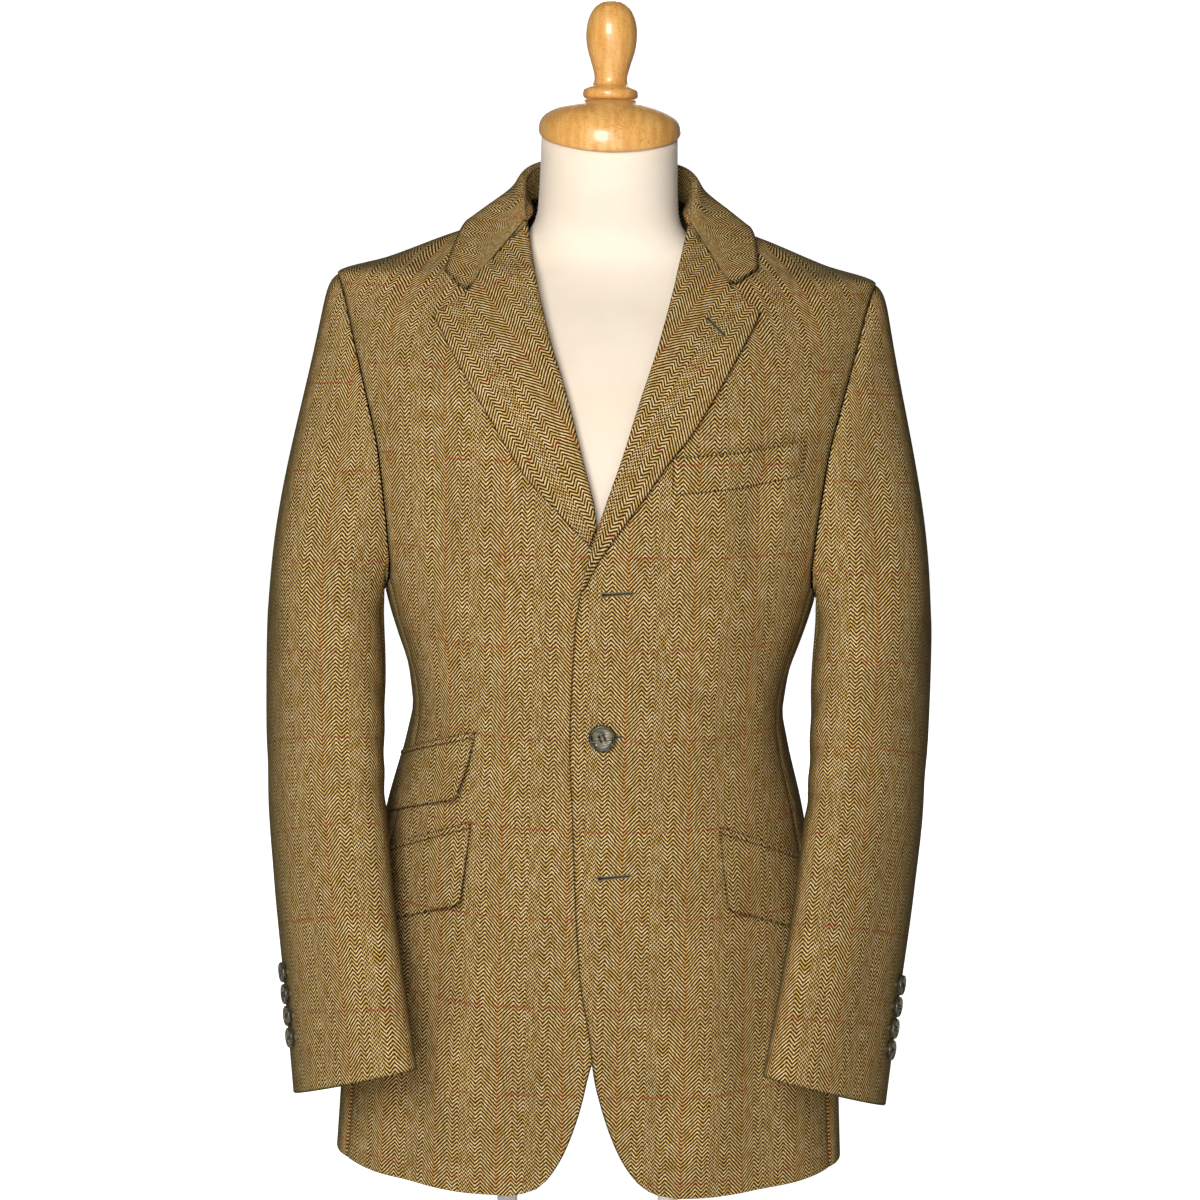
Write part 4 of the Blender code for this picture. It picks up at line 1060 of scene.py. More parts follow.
# Columns: turn round the sleeve, step along it, the other end, half width in metres, height
SLEEVE_CREASES = (
    (60.0, 0.30, 75.0, 0.95, 0.016, -0.0022),
    (150.0, 0.24, 160.0, 0.90, 0.014, -0.0026),
    (120.0, 0.35, 118.0, 1.10, 0.020, 0.0016),
    (165.0, 1.18, 232.0, 1.30, 0.010, -0.0026),
    (176.0, 1.32, 236.0, 1.40, 0.009, -0.0022),
    (170.0, 1.02, 236.0, 1.20, 0.011, -0.0020),
    (60.0, 1.30, 30.0, 1.42, 0.012, -0.0016),
    (100.0, 1.45, 106.0, 1.92, 0.014, -0.0012),
    (150.0, 1.50, 146.0, 1.96, 0.013, -0.0010),
    (265.0, 0.60, 268.0, 1.25, 0.014, -0.0028),
    (300.0, 1.10, 296.0, 1.80, 0.016, -0.0020),
)
sleeve_columns = [table_curve(SLEEVE, column) for column in range(1, 7)]


def armhole_seam(turn):
    """The armhole seam and its outward direction: turn 0 behind, 90 at the shoulder, 180 before."""
    corner_z = ARMHOLE[0][0]
    z = PIT_Z + (SHOULDER_Z - PIT_Z) * 0.5 * (1 + np.sin(np.radians(turn)))
    before = np.cos(np.radians(turn)) < 0
    corner = np.where(before, ARMHOLE[0][1], ARMHOLE[0][2])
    low = 90 + (corner - 90) * np.sqrt(np.clip((z - PIT_Z) / (corner_z - PIT_Z), 0.0, 1.0))
    angle = np.where(z >= corner_z, np.where(before, armhole_front(z), armhole_back(z)), low)
    middle = torso(np.array(90.0), np.array((SHOULDER_Z + PIT_Z) / 2))
    seam = torso(angle, z)
    return seam + HEAD_INSET * unit(middle - seam), torso_outward(angle, z)


def sleeve_ring(turn, z):
    """A flat oval round the arm, its long axis from the outer back to the inner front."""
    x, y, long_half, short_half, axis_turn, drop = (column(z) for column in sleeve_columns)
    a, e = np.radians(axis_turn), np.radians(turn)
    along, across = long_half * np.cos(e), short_half * np.sin(e)
    return np.stack([x + np.cos(a) * along + np.sin(a) * across, y + np.sin(a) * along - np.cos(a) * across,
                     z - drop * np.cos(e)], axis=-1)


def sleeve_surface(turn, step):
    """Points of the left sleeve: step 0 at the armhole, 1 below the arm pit, 2 at the cuff."""
    tube = sleeve_ring(turn, SLEEVE_TOP_Z + (CUFF_Z - SLEEVE_TOP_Z) * np.clip(step - 1, 0.0, None))
    start, out = armhole_seam(turn)
    end = sleeve_ring(turn, SLEEVE_TOP_Z + 0 * turn)
    down = unit(sleeve_ring(turn, SLEEVE_TOP_Z - HEAD_DIRECTION_STEP + 0 * turn) - end)
    reach = np.linalg.norm(end - start, axis=-1, keepdims=True)
    t = np.clip(step, 0.0, 1.0)[..., None]
    curve = ((1 + 2 * t) * (1 - t) ** 2 * start + t * (1 - t) ** 2 * (end - start)
             + t * t * (3 - 2 * t) * end - t * t * (1 - t) * down * reach)
    over = np.clip(np.sin(np.radians(turn)), 0.0, None)[..., None]
    weight = HEAD_UNDER_SHARE + (1 - HEAD_UNDER_SHARE) * over
    puff = HEAD_PUFF * weight * (1 - np.exp(-t / HEAD_RISE)) * (1 - t) ** 2
    return np.where(step[..., None] >= 1, tube, curve + puff * out)


def sleeve_grid(first_turn, last_turn):
    turns = first_turn + (last_turn - first_turn) * fine_shares(SLEEVE_COLUMNS_FINE)
    return np.meshgrid(turns, np.concatenate([HEAD_ROWS, np.linspace(*ARM_ROWS), CUFF_ROWS]))


def sleeve_creases(turn, step):
    """The creases' heights, with turns and steps taken as lengths on the sleeve."""
    scale = np.array([DEGREE_LENGTH, STEP_LENGTH, DEGREE_LENGTH, STEP_LENGTH, 1.0, 1.0])
    rows = np.array(SLEEVE_CREASES) * scale
    return creases(rows, turn * DEGREE_LENGTH, step * STEP_LENGTH, 1.0, SLEEVE_CREASE_ENDS)


def fit_cloth(points, grain):
    """Places on flat cloth for a grid of points, fitted so that its threads keep to the grain."""
    out = grid_outward(points)
    up = unit(grain - (grain * out).sum(axis=-1, keepdims=True) * out)
    across = np.cross(up, out)
    across = across * np.sign((across * np.gradient(points, axis=1)).sum())
    index = np.arange(out[..., 0].size).reshape(out.shape[:2])
    first = np.concatenate([index[:, :-1].ravel(), index[:-1].ravel()])
    second = np.concatenate([index[:, 1:].ravel(), index[1:].ravel()])
    run = points.reshape(-1, 3)[second] - points.reshape(-1, 3)[first]
    weight = 1 / (run * run).sum(axis=-1)
    ties = np.zeros((index.size, index.size))
    pulls = np.zeros((index.size, 2))
    ties[first, second] = ties[second, first] = -weight
    np.fill_diagonal(ties, -ties.sum(axis=1))
    ties[0, 0] *= 2
    for k, thread in enumerate((across.reshape(-1, 3), up.reshape(-1, 3))):
        wanted = weight * (run * 0.5 * (thread[first] + thread[second])).sum(axis=-1)
        np.add.at(pulls[:, k], second, wanted)
        np.add.at(pulls[:, k], first, -wanted)
    return np.linalg.solve(ties, pulls).reshape(index.shape + (2,))


def sleeve_weave(turn, step):
    """Places on the cut cloth of a sleeve half, whose grain leans a little less than the arm."""
    turns = np.linspace(turn[0, 0], turn[0, -1], FIT_COLUMNS)
    steps = np.concatenate([np.linspace(0.0, 1.0, FIT_ROWS)[:-1], np.linspace(1.0, 2.0, FIT_ROWS)])
    coarse_turn, coarse_step = np.meshgrid(turns, steps)
    z = SLEEVE_TOP_Z + (CUFF_Z - SLEEVE_TOP_Z) * np.clip(coarse_step - 1, 0.0, 1.0)
    x_run, y_run = (column(z + AXIS_STEP) - column(z - AXIS_STEP) for column in sleeve_columns[:2])
    grain = unit(np.stack([GRAIN_LEAN * x_run, y_run, 2 * AXIS_STEP + 0 * z], axis=-1))
    coarse = fit_cloth(sleeve_surface(coarse_turn, coarse_step), grain)
    wide = np.array([[np.interp(turn[0], turns, row[:, k]) for k in (0, 1)] for row in coarse])
    columns = range(turn.shape[1])
    uv = np.array([[np.interp(step[:, 0], steps, wide[:, k, c]) for k in (0, 1)] for c in columns])
    uv = uv.transpose(2, 0, 1)
    for k, at_step, shift in ((0, SLEEVE_RUST_STEP, 0.0), (1, 1.0, SLEEVE_RED_DROP)):
        row = np.argmin(np.abs(step[:, 0] - at_step))
        uv[..., k] += shift - np.interp(SLEEVE_RUST_TURN, turn[row], uv[row, :, k])
    return uv


def build_sleeve_half(side, first_turn, last_turn, name):
    turn, step = sleeve_grid(first_turn + SLEEVE_GAP_DEGREES, last_turn - SLEEVE_GAP_DEGREES)
    mirror = np.array([side, 1.0, 1.0])
    plain = sleeve_surface(turn, step)
    out = grid_outward(plain)
    around = np.linalg.norm(np.diff(plain, axis=1, prepend=plain[:, :1]), axis=-1).cumsum(axis=1)
    to_seam = np.minimum(around, around[:, -1:] - around)
    fade = np.clip(step / CREASES_FADE_IN, 0.0, 1.0)
    uneven = 1.0 if side > 0 else SLEEVE_UNEVEN
    lift = uneven * fade * sleeve_creases(turn, step) + seam_dip(to_seam)
    outer = plain + lift[..., None] * out
    inner = outer - WALL * grid_outward(outer)
    uv = sleeve_weave(turn, step)
    shown = np.where(step > CUFF_EDGE_STEP, 1.0, ARMHOLE_SHOWN)
    piece = cloth_wall(name, outer * mirror, inner * mirror, uv, tweed, shown)
    return piece


for side, hand in ((1, "left"), (-1, "right")):
    upper_sleeve = build_sleeve_half(side, HINDARM, FOREARM, f"tweed_sleeve_upper_{hand}")
    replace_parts(upper_sleeve, f"sleeve_upper_{hand}")
    under_sleeve = build_sleeve_half(side, FOREARM, HINDARM + 360, f"tweed_sleeve_under_{hand}")
    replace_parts(under_sleeve, f"sleeve_under_{hand}")

# Pockets
# Slanted flaps hang from narrow bound jets on both hips, with a smaller ticket flap above the right
# one. The breast pocket has a doubled welt, sewn on along its foot and ends. All match the weave below.
# Columns: front angle, front z, rear angle, rear z, height, lean of the short edges
FLAP_HIP = (33.0, 0.4095, 84.0, 0.3605, 0.056, -1.4)
FLAP_TICKET = (36.5, 0.4770, 82.0, 0.4440, 0.046, 1.6)
FLAP_LIFT = 0.0028
FLAP_SPREAD = 0.0014
FLAP_CURL = 0.0052
FLAP_CURL_POWER = 1.2
# How much of the painted edge shade shows round the flaps and jets
FLAP_SHOWN = 0.7
# Columns: number of points, share kept for the close ones at each end
FLAP_LONG, FLAP_DOWN = (44, 0.006), (16, 0.012)
JET_DOWN = (4, 0.05)
WELT_LONG, WELT_DOWN = (44, 0.005), (10, 0.02)
CURL_SHARE = 0.16
CORNER_SHARE = 0.03
CORNER_CUT = 0.08
FLAP_HUG = 0.0014
JET_HEIGHT = 0.0048
JET_WALL = 0.0015
JET_LIFT = 0.0034
JET_ROUND = 0.0022
# Columns: x, z of the welt's top edge
WELT = ((0.0513, 0.6875), (0.0993, 0.6915), (0.1460, 0.6990))
WELT_HEIGHT = 0.0245
WELT_LIFT = 0.0054
WELT_FLUSH = 0.0028
WELT_END_SEWN = 0.0018
WELT_WALL = 0.0022
# How much of the painted edge shade shows round the welt
WELT_SHOWN = 0.35


def on_front(name, side, angle, z, lift, wall, shown):
    """A piece of cloth that lies on a front and matches its weave, and its places on the cloth."""
    lift = lift + front_lift(side, angle, z)
    uv = front_uv(side, angle, z)
    outer, inner = on_torso(angle, z, lift), on_torso(angle, z, lift - wall)
    return cloth_wall(name, outer, inner, uv, tweed, shown), uv


def flap_place(flap, side, along, down):
    first_angle, first_z, rear_angle, rear_z, height, lean = flap
    angle = first_angle + (rear_angle - first_angle) * along + lean * down
    return side * angle, first_z + (rear_z - first_z) * along - height * down


def build_flap(name, flap, side):
    along, down = np.meshgrid(fine_shares(*FLAP_LONG), fine_shares(*FLAP_DOWN))
    corner = np.clip(1 - along / CORNER_SHARE, 0.0, 1.0)
    reach = 1 - CORNER_CUT * (1 - np.sqrt(1 - corner ** 2))
    angle, z = flap_place(flap, side, along, down * reach)
    curl = FLAP_CURL * down ** FLAP_CURL_POWER * np.exp(-(along / CURL_SHARE) ** 2)
    lift = FLAP_LIFT - FLAP_HUG * along ** 2 + FLAP_SPREAD * down * (1 - along) + curl
    piece, uv = on_front(name, side, angle, z, lift, WALL, FLAP_SHOWN)
    return piece


def build_jet(name, flap, side):
    top, bottom = -(JET_HEIGHT + SEAM_GAP) / flap[4], -SEAM_GAP / flap[4]
    along, share = np.meshgrid(fine_shares(*FLAP_LONG), fine_shares(*JET_DOWN))
    angle, z = flap_place(flap, side, along, top + (bottom - top) * share)
    lift = JET_LIFT - JET_ROUND * (2 * share - 1) ** 4 - FLAP_HUG * along ** 2
    return on_front(name, side, angle, z, lift, JET_WALL, FLAP_SHOWN)[0]


def build_welt(name):
    share_x, share = np.meshgrid(fine_shares(*WELT_LONG), fine_shares(*WELT_DOWN))
    x = WELT[0][0] + (WELT[-1][0] - WELT[0][0]) * share_x
    z = np.interp(x, [row[0] for row in WELT], [row[1] for row in WELT]) - WELT_HEIGHT * share
    lift = WELT_LIFT - WELT_FLUSH * share - WELT_END_SEWN * (2 * share_x - 1) ** 10
    piece, uv = on_front(name, 1, front_angle(x, z), z, lift, WELT_WALL, WELT_SHOWN)
    return piece


FLAPS = (("hip_left", FLAP_HIP, 1), ("hip_right", FLAP_HIP, -1), ("ticket", FLAP_TICKET, -1))
for label, flap, side in FLAPS:
    jet = build_jet(f"tweed_jet_{label}", flap, side)
    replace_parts(jet, f"jet_{label}")
    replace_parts(build_flap(f"tweed_flap_{label}", flap, side), f"flap_{label}")
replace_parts(build_welt("tweed_welt"), "welt_breast")

# Buttonholes
# Slits worked round with close purl stitches of olive silk twist: three down the left front's edge,
# one in the left lapel, and a short one behind each cuff button.
# Columns: x, z of the eye, x, z of the barred end
FRONT_HOLES = (
    (0.0014, 0.5891, 0.0238, 0.5909),
    (0.0036, 0.4842, 0.0178, 0.4849),
    (0.0028, 0.3781, 0.0263, 0.3806),
)
LAPEL_HOLE = (0.0733, 0.7840, 0.0866, 0.7717)
HOLE_HALF_WIDTH = 0.0011
SLIT_HALF_WIDTH = 0.0006
STITCH_SPACING = 0.0006
STITCH_LENGTH = 0.0014
STITCH_RADIUS = 0.00032
# The eye's extra width, how far it reaches, and how much the slit narrows to its end
EYE_WIDER, EYE_SHARE, SLIT_NARROWS = 0.9, 0.10, 0.35
TWIST_OLIVE = (124, 112, 74)
TWIST_DARK = (84, 74, 44)
# Painted shade: the very dark colours of the sheet laid in each buttonhole's slit
SLIT_SHADE = (18, 12, 5)
SLIT_SHADE_PALE = (32, 23, 11)


def twist_finish():
    material, tree, shader = new_finish("silk_twist", 0.6, Sheen_Weight=0.2)
    strands = noise(tree, object_place(tree), 1800.0, 2.0)
    tree.links.new(mixed(tree, strands, TWIST_DARK, TWIST_OLIVE), shader.inputs["Base Color"])
    raise_bump(tree, shader, strands, 0.0001, 0.5)
    return material


def slit_shade_finish():
    material, tree, shader = new_finish("slit_shade", 1.0)
    slit_shade_mottle = noise(tree, object_place(tree), 1500.0, 2.0)
    tree.links.new(mixed(tree, slit_shade_mottle, SLIT_SHADE, SLIT_SHADE_PALE), shader.inputs["Base Color"])
    return material


def stitch_tree():
    """Geometry nodes that lay a close row of stitches, square to it, along a path."""
    tree = bpy.data.node_groups.new("purl_stitches", "GeometryNodeTree")
    tree.interface.new_socket("Geometry", in_out="INPUT", socket_type="NodeSocketGeometry")
    for label in ("Spacing", "Length", "Radius"):
        tree.interface.new_socket(label, in_out="INPUT", socket_type="NodeSocketFloat")
    tree.interface.new_socket("Cloth Normal", in_out="INPUT", socket_type="NodeSocketVector")
    tree.interface.new_socket("Thread", in_out="INPUT", socket_type="NodeSocketMaterial")
    tree.interface.new_socket("Geometry", in_out="OUTPUT", socket_type="NodeSocketGeometry")
    entry = place(tree, "NodeGroupInput")
    path = place(tree, "GeometryNodeMeshToCurve", entry.outputs["Geometry"])
    dots = place(tree, "GeometryNodeResampleCurve", path.outputs["Curve"], mode="LENGTH")
    tree.links.new(entry.outputs["Spacing"], dots.inputs["Length"])
    stitch = place(tree, "GeometryNodeMeshUVSphere", 8, 6)
    tree.links.new(entry.outputs["Radius"], stitch.inputs["Radius"])
    share = sums(tree, "DIVIDE", entry.outputs["Length"], entry.outputs["Radius"])
    scale = place(tree, "ShaderNodeCombineXYZ", 1.0, sums(tree, "MULTIPLY", share, 0.5), 1.0)
    longer = place(tree, "GeometryNodeTransform", stitch.outputs["Mesh"])
    tree.links.new(scale.outputs[0], longer.inputs["Scale"])
    tangent = place(tree, "GeometryNodeInputTangent")
    lie = place(tree, "FunctionNodeAlignRotationToVector", axis="X")
    tree.links.new(tangent.outputs[0], lie.inputs["Vector"])
    face = place(tree, "FunctionNodeAlignRotationToVector", lie.outputs[0], axis="Z", pivot_axis="X")
    tree.links.new(entry.outputs["Cloth Normal"], face.inputs["Vector"])
    laid = place(tree, "GeometryNodeInstanceOnPoints", dots.outputs["Curve"])
    tree.links.new(longer.outputs["Geometry"], laid.inputs["Instance"])
    tree.links.new(face.outputs[0], laid.inputs["Rotation"])
    real = place(tree, "GeometryNodeRealizeInstances", laid.outputs["Instances"])
    coloured = place(tree, "GeometryNodeSetMaterial", real.outputs["Geometry"])
    tree.links.new(entry.outputs["Thread"], coloured.inputs["Material"])
    place(tree, "NodeGroupOutput", coloured.outputs["Geometry"])
    return tree


silk_twist, slit_shade = twist_finish(), slit_shade_finish()
purl_stitches = stitch_tree()


def sewn_row(name, points, normal, material):
    """Stitches along a closed path of points on the cloth, as one plain mesh piece."""
    mesh = bpy.data.meshes.new(name + "_path")
    count = len(points)
    mesh.from_pydata([tuple(point) for point in points], [(k, (k + 1) % count) for k in range(count)], [])
    path = bpy.data.objects.new(name + "_path", mesh)
    bpy.context.scene.collection.objects.link(path)
    modifier = path.modifiers.new("stitches", "NODES")
    modifier.node_group = purl_stitches
    values = {"Spacing": STITCH_SPACING, "Length": STITCH_LENGTH, "Radius": STITCH_RADIUS,
              "Cloth Normal": tuple(normal), "Thread": material}
    for item in purl_stitches.interface.items_tree:
        if item.in_out == "INPUT" and item.name in values:
            modifier[item.identifier] = values[item.name]
    evaluated = path.evaluated_get(bpy.context.evaluated_depsgraph_get())
    sewn = bpy.data.meshes.new_from_object(evaluated)
    bpy.data.objects.remove(path, do_unlink=True)
    sewn.shade_smooth()
    show(name, sewn)


def slit_path(eye, end, sideways, half_width, steps=12):
    """A long thin loop round a slit, with a rounder eye at one end."""
    eye, end, sideways = np.array(eye), np.array(end), np.array(sideways)
    shares = np.linspace(0.0, 1.0, steps)
    width = half_width * (1.0 + EYE_WIDER * np.exp(-(shares / EYE_SHARE) ** 2)) * (1 - SLIT_NARROWS * shares)
    line = eye + (end - eye) * shares[:, None]
    there = line + width[:, None] * sideways
    back = (line - width[:, None] * sideways)[::-1]
    return np.vstack([there, back])


def open_slit(name, path):
    """A dark sheet of painted shade laid in the slit between a buttonhole's two rows of stitches."""
    count = len(path)
    faces = [(k, count - 1 - k, count - 2 - k, k + 1) for k in range(count // 2 - 1)]
    add_piece(name, path, faces, slit_shade)


def front_place(x, z, lift):
    angle = front_angle(np.array(x), np.array(z))
    z = np.array(z)
    return on_torso(angle, z, lift + front_lift(1, angle, z)), torso_outward(angle, z)


HOLE_SEAT = 0.0002
LAPEL_HOLE_SEAT = 0.0053
SLIT_RISE = 0.0003
for k, (eye_x, eye_z, end_x, end_z) in enumerate(FRONT_HOLES + (LAPEL_HOLE,)):
    seat = LAPEL_HOLE_SEAT if k == len(FRONT_HOLES) else HOLE_SEAT
    eye, normal = front_place(eye_x, eye_z, seat)
    end, _ = front_place(end_x, end_z, seat)
    sideways = unit(np.cross(normal, end - eye))
    path = slit_path(eye, end, sideways, HOLE_HALF_WIDTH)
    sewn_row(f"buttonhole_{k + 1}", path, normal, silk_twist)
    opening = slit_path(eye, end, sideways, SLIT_HALF_WIDTH) + SLIT_RISE * normal
    open_slit(f"buttonhole_slit_{k + 1}", opening)

# Buttons
# Mottled dark horn, turned with a raised rim and a dished face, drilled with four holes and sewn on
# through pairs of holes with dark thread. One fastens the front, and each cuff has four.
FRONT_BUTTON = (0.0036, 0.4842)
FRONT_BUTTON_RADIUS = 0.0100
FRONT_BUTTON_THICK = 0.0042
CUFF_BUTTON_RADIUS = 0.0077
CUFF_BUTTON_THICK = 0.0036
CUFF_BUTTON_TURN = 58.0
CUFF_BUTTON_FIRST = 0.041
CUFF_BUTTON_PITCH = 0.0163
CUFF_BUTTON_COUNT = 4
BUTTON_STAND_OFF = 0.0006
# Columns: share of the radius, share of the thickness
BUTTON_PROFILE = (
    (0.60, 0.00), (0.86, 0.10), (0.97, 0.36), (1.00, 0.62), (0.97, 0.86), (0.90, 0.99), (0.82, 0.98),
    (0.75, 0.80), (0.66, 0.70), (0.45, 0.66), (0.20, 0.65),
)
BUTTON_SEGMENTS = 56
BUTTON_PROFILE_STEPS = 4
DRILL_SEGMENTS = 16
SHARP_EDGE_DEGREES = 50.0
# Where the dark rim starts, over what share of the radius it deepens, and how dark it gets
RIM_FROM, RIM_OVER, RIM_DARK = 0.76, 0.06, 0.7
HOLE_PLACE = 0.24
HOLE_RADIUS = 0.105
HORN_DARK = (22, 20, 14)
HORN_MIDDLE = (118, 110, 80)
HORN_PALE = (188, 178, 144)
THREAD_TURN = 25.0
THREAD_TURN_STEP = 31
THREAD_RADIUS = 0.085
THREAD_REACH = 1.05
THREAD_FOOT, THREAD_ARCH = 0.62, 0.24
THREAD_DARK = (22, 20, 16)
THREAD_PALE = (66, 58, 40)


def horn_finish():
    material, tree, shader = new_finish("mottled_horn", 0.32, Coat_Weight=0.12, Coat_Roughness=0.15)
    where = object_place(tree)
    clouds = noise(tree, stretch(tree, where, (1.0, 1.0, 0.6)), 260.0, 4.0, 0.6)
    streaks = noise(tree, stretch(tree, where, (0.5, 1.0, 1.6)), 520.0, 2.0)
    body = mixed(tree, ease(tree, clouds, 0.34, 0.66), HORN_DARK, HORN_MIDDLE)
    pale = sums(tree, "MULTIPLY", ease(tree, streaks, 0.52, 0.72), 0.75)
    rim = place(tree, "ShaderNodeAttribute", attribute_name="rim").outputs["Fac"]
    face = mixed(tree, pale, body, HORN_PALE)
    tree.links.new(mixed(tree, rim, face, HORN_DARK), shader.inputs["Base Color"])
    raise_bump(tree, shader, clouds, 0.0001, 0.2)
    return material


def thread_finish():
    material, tree, shader = new_finish("button_thread", 0.7)
    strands = noise(tree, object_place(tree), 2600.0, 1.0)
    tree.links.new(mixed(tree, strands, THREAD_DARK, THREAD_PALE), shader.inputs["Base Color"])
    return material


def button_mesh(radius, thick, material):
    """A drilled button lying on XY, its back at z 0."""
    profile = smooth_path([(r * radius, h * thick) for r, h in BUTTON_PROFILE], BUTTON_PROFILE_STEPS)
    points, faces = closed_rings(turned_rings(profile, (0, 0, 0), BUTTON_SEGMENTS))
    blank = bpy.data.meshes.new("button_blank")
    blank.from_pydata([tuple(point) for point in points], [], faces)
    face_out(blank)
    drill = bmesh.new()
    for k in range(4):
        turn = math.radians(90 * k + 45)
        off = HOLE_PLACE * radius
        at = Matrix.Translation((off * math.cos(turn), off * math.sin(turn), 0))
        bmesh.ops.create_cone(drill, cap_ends=True, segments=DRILL_SEGMENTS, radius1=HOLE_RADIUS * radius,
                              radius2=HOLE_RADIUS * radius, depth=4 * thick, matrix=at)
    bits = bpy.data.meshes.new("button_drill")
    drill.to_mesh(bits)
    drill.free()
    blank_object = bpy.data.objects.new("button_blank", blank)
    bits_object = bpy.data.objects.new("button_drill", bits)
    for work_object in (blank_object, bits_object):
        bpy.context.scene.collection.objects.link(work_object)
    cut = blank_object.modifiers.new("drill", "BOOLEAN")
    cut.object = bits_object
    evaluated = blank_object.evaluated_get(bpy.context.evaluated_depsgraph_get())
    mesh = bpy.data.meshes.new_from_object(evaluated)
    for work_object in (blank_object, bits_object):
        bpy.data.objects.remove(work_object, do_unlink=True)
    mesh.shade_smooth()
    mesh.set_sharp_from_angle(angle=math.radians(SHARP_EDGE_DEGREES))
    rim = mesh.attributes.new("rim", "FLOAT", "POINT")
    for vertex in mesh.vertices:
        off = math.hypot(vertex.co.x, vertex.co.y) / radius
        rim.data[vertex.index].value = min(max((off - RIM_FROM) / RIM_OVER, 0.0), 1.0) * RIM_DARK
    mesh.materials.clear()
    mesh.materials.append(material)
    return mesh


def standing(seat, out, turn):
    """The matrix that stands a button on its seat, facing out, turned in its own plane."""
    out = Vector(out).normalized()
    right = Vector((0, 0, 1)).cross(out).normalized()
    frame_axes = Matrix((right, out.cross(right), out)).transposed().to_4x4()
    return Matrix.Translation(Vector(seat)) @ frame_axes @ Matrix.Rotation(math.radians(turn), 4, "Z")


def thread_bars(radius, thick):
    """Two slack bars of thread over the pairs of holes, as points and faces on a button at the origin."""
    points, faces = [], []
    reach, sides, count = HOLE_PLACE * radius * math.sqrt(0.5), 8, 9
    for side in (-1, 1):
        start = len(points)
        for k in range(count):
            share = 2 * k / (count - 1) - 1
            height = thick * (THREAD_FOOT + THREAD_ARCH * (1 - share ** 4))
            centre = Vector((side * reach, share * reach * THREAD_REACH, height))
            for s in range(sides):
                turn = 2 * math.pi * s / sides
                points.append(centre + Vector((math.cos(turn), 0.0, math.sin(turn))) * THREAD_RADIUS * radius)
        for k in range(count - 1):
            for s in range(sides):
                a, b = start + k * sides + s, start + k * sides + (s + 1) % sides
                faces.append((a, b, b + sides, a + sides))
        faces.append(tuple(range(start, start + sides)))
        faces.append(tuple(range(start + (count - 1) * sides, start + count * sides)))
    return points, faces


def sew_button(node, seat, out, radius, thick, turn):
    matrix = standing(seat, out, turn)
    mesh = button_mesh(radius, thick, horn)
    mesh.transform(matrix)
    button = show(node.replace("button", "horn_button"), mesh)
    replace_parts(button, node)
    points, faces = thread_bars(radius, thick)
    points = [matrix @ point for point in points]
    add_piece(node.replace("button", "thread"), points, faces, dark_thread)


horn, dark_thread = horn_finish(), thread_finish()
seat, out = front_place(*FRONT_BUTTON, BUTTON_STAND_OFF)
sew_button("button_front", seat, out, FRONT_BUTTON_RADIUS, FRONT_BUTTON_THICK, THREAD_TURN)


def sleeve_seat(turn, step, side):
    """A place on the sleeve, with its directions outwards and round the arm."""
    turn, step = np.array(turn), np.array(step)
    mirror = np.array([side, 1.0, 1.0])
    round_arm = sleeve_surface(turn + 1, step) - sleeve_surface(turn - 1, step)
    down_arm = sleeve_surface(turn, step + 0.01) - sleeve_surface(turn, step - 0.01)
    out = unit(np.cross(round_arm, down_arm))
    return sleeve_surface(turn, step) * mirror, out * mirror, unit(round_arm) * mirror


CUFF_HOLE_FROM = 0.0052
CUFF_HOLE_TO = 0.0128
CUFF_HOLE_NARROWER = 0.7
CUFF_STEP, HIGHER_STEP = 2.0, 1.8
for side, hand in ((1, "left"), (-1, "right")):
    lower = sleeve_surface(np.array(CUFF_BUTTON_TURN), np.array(CUFF_STEP))
    higher = sleeve_surface(np.array(CUFF_BUTTON_TURN), np.array(HIGHER_STEP))
    run = np.linalg.norm(lower - higher) / (CUFF_STEP - HIGHER_STEP)
    for k in range(CUFF_BUTTON_COUNT):
        step = CUFF_STEP - (CUFF_BUTTON_FIRST + k * CUFF_BUTTON_PITCH) / run
        seat, out, round_arm = sleeve_seat(CUFF_BUTTON_TURN, step, side)
        sew_button(f"button_cuff_{hand}_{k + 1}", seat + BUTTON_STAND_OFF * out, out,
                   CUFF_BUTTON_RADIUS, CUFF_BUTTON_THICK, THREAD_TURN + THREAD_TURN_STEP * k)
        eye, end = seat + CUFF_HOLE_FROM * round_arm, seat + CUFF_HOLE_TO * round_arm
        path = slit_path(eye, end, np.cross(out, round_arm), HOLE_HALF_WIDTH * CUFF_HOLE_NARROWER, steps=6)
        sewn_row(f"cuff_hole_{hand}_{k + 1}", path + HOLE_SEAT * out, out, silk_twist)

# Studio
# A pale floor that sweeps up behind, two large soft lights before the jacket and one behind it.
# The camera stands where the picture was taken from.
FLOOR_HALF = 4.0
SWEEP_BACK_Y = 2.6
SWEEP_RADIUS = 1.2
EYE_REACH = 2.10
EYE_PITCH = math.radians(9.5)
EYE_ROLL = math.radians(1.2)
LOOK_AT = Vector((0.0, 0.0, 0.565))
LENS_MM = 81.82
SENSOR_MM = 36.0
FLOOR_WHITE = (250, 250, 249)
FLOOR_WHITER = (253, 253, 252)
SWEEP_STEPS = 16
# Columns: place, size, power
LIGHTS = (
    ((-0.52, -2.20, 1.50), 0.9, 52.0),
    ((0.10, -2.60, 0.70), 1.4, 15.0),
    ((0.20, 2.30, 1.50), 1.2, 22.0),
)
WORLD_STRENGTH = 0.045
BACKDROP_GLOW = 0.9
FLOOR_GLOW = 0.85


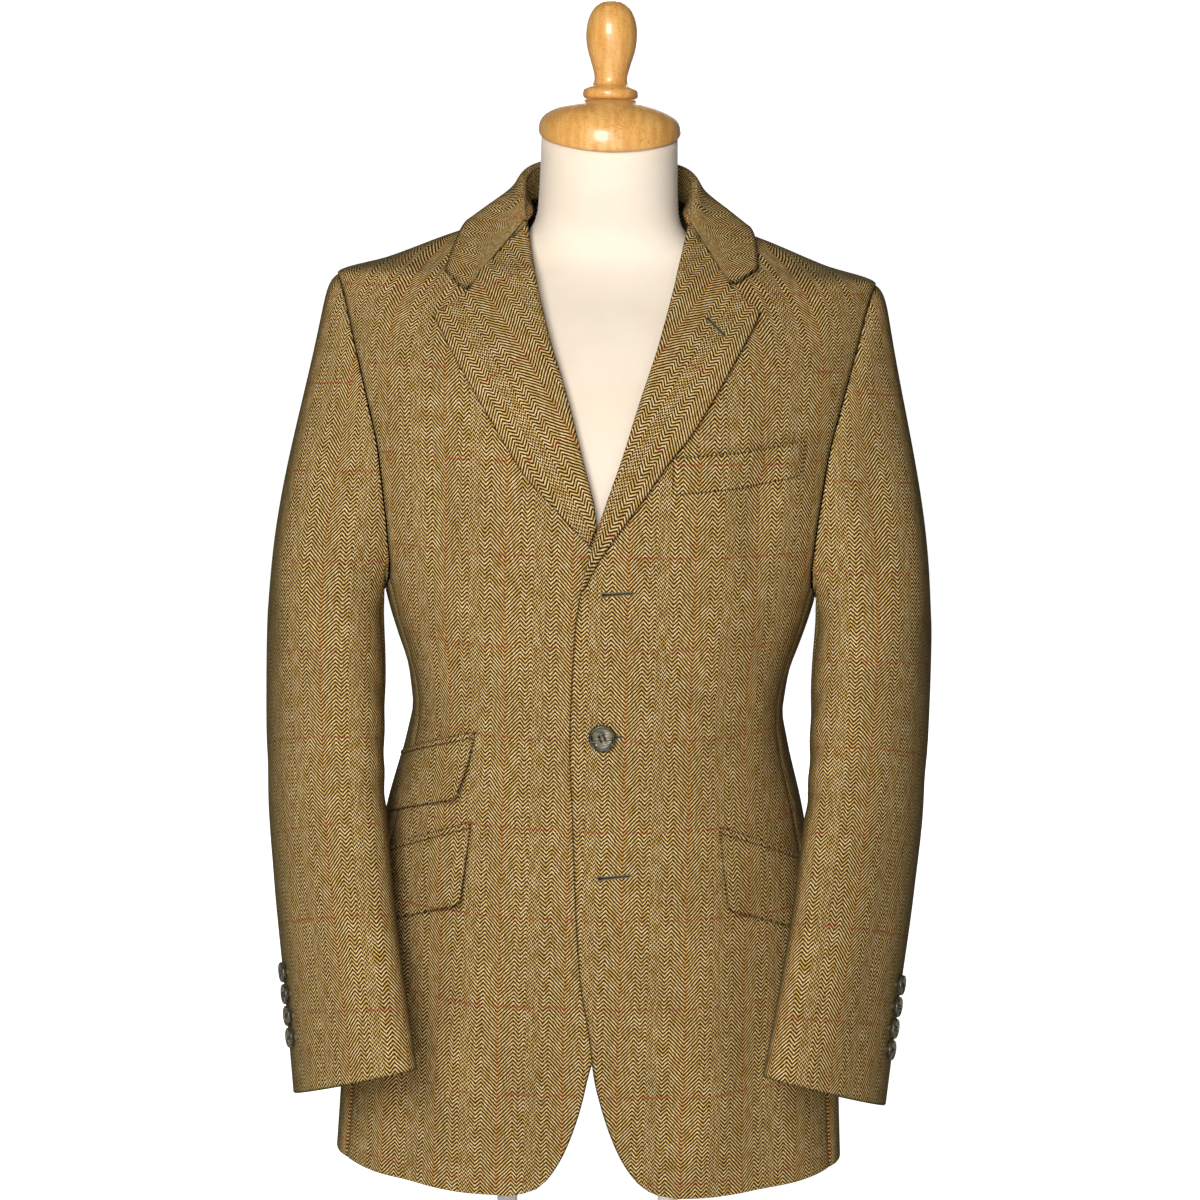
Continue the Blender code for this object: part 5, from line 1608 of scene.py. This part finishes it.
def build_floor():
    material, tree, shader = new_finish("pale_floor", 0.8)
    where = object_place(tree)
    tone = noise(tree, where, 2.0, 2.0)
    tree.links.new(mixed(tree, tone, FLOOR_WHITE, FLOOR_WHITER), shader.inputs["Base Color"])
    seen = place(tree, "ShaderNodeLightPath").outputs["Is Camera Ray"]
    tree.links.new(mixed(tree, seen, (0, 0, 0), (255, 255, 255)), shader.inputs["Emission Color"])
    shader.inputs["Emission Strength"].default_value = FLOOR_GLOW
    bend = np.radians(np.linspace(0.0, 90.0, SWEEP_STEPS))
    profile = [(-FLOOR_HALF, 0.0), (SWEEP_BACK_Y, 0.0)]
    for b in bend[1:]:
        profile.append((SWEEP_BACK_Y + SWEEP_RADIUS * math.sin(b), SWEEP_RADIUS * (1 - math.cos(b))))
    profile.append((SWEEP_BACK_Y + SWEEP_RADIUS, FLOOR_HALF))
    points = [(x, y, z) for y, z in profile for x in (-FLOOR_HALF, FLOOR_HALF)]
    faces = [(2 * k, 2 * k + 1, 2 * k + 3, 2 * k + 2) for k in range(len(profile) - 1)]
    mesh = bpy.data.meshes.new("floor")
    mesh.from_pydata(points, [], faces)
    mesh.shade_smooth()
    mesh.materials.append(material)
    floor = bpy.data.objects.new("floor", mesh)
    bpy.context.scene.collection.objects.link(floor)


def build_lights():
    for k, (at, size, power) in enumerate(LIGHTS):
        lamp = bpy.data.lights.new(f"softbox_{k + 1}", "AREA")
        lamp.size = size
        lamp.energy = power
        lit = bpy.data.objects.new(f"softbox_{k + 1}", lamp)
        turned = (LOOK_AT - Vector(at)).to_track_quat("-Z", "Y").to_matrix().to_4x4()
        lit.matrix_world = Matrix.Translation(Vector(at)) @ turned
        bpy.context.scene.collection.objects.link(lit)
    world = bpy.data.worlds.new("studio")
    world.use_nodes = True
    surround = world.node_tree.nodes["Background"]
    surround.inputs["Color"].default_value = (1.0, 1.0, 1.0, 1.0)
    seen = place(world.node_tree, "ShaderNodeLightPath").outputs["Is Camera Ray"]
    glow = sums(world.node_tree, "MULTIPLY_ADD", seen, BACKDROP_GLOW, WORLD_STRENGTH)
    world.node_tree.links.new(glow, surround.inputs["Strength"])
    bpy.context.scene.world = world


def build_camera():
    forward = Vector((0.0, math.cos(EYE_PITCH), -math.sin(EYE_PITCH)))
    upward = Vector((0.0, math.sin(EYE_PITCH), math.cos(EYE_PITCH)))
    axes = Matrix((Vector((1.0, 0.0, 0.0)), upward, -forward)).transposed()
    turned_axes = (axes @ Matrix.Rotation(EYE_ROLL, 3, "Z")).to_4x4()
    camera = bpy.data.cameras.new("camera")
    camera.lens = LENS_MM
    camera.sensor_width = SENSOR_MM
    eye = bpy.data.objects.new("camera", camera)
    eye.matrix_world = Matrix.Translation(LOOK_AT - EYE_REACH * forward) @ turned_axes
    bpy.context.scene.collection.objects.link(eye)
    bpy.context.scene.camera = eye


build_floor()
build_lights()
build_camera()
bpy.context.scene.view_settings.view_transform = "Standard"
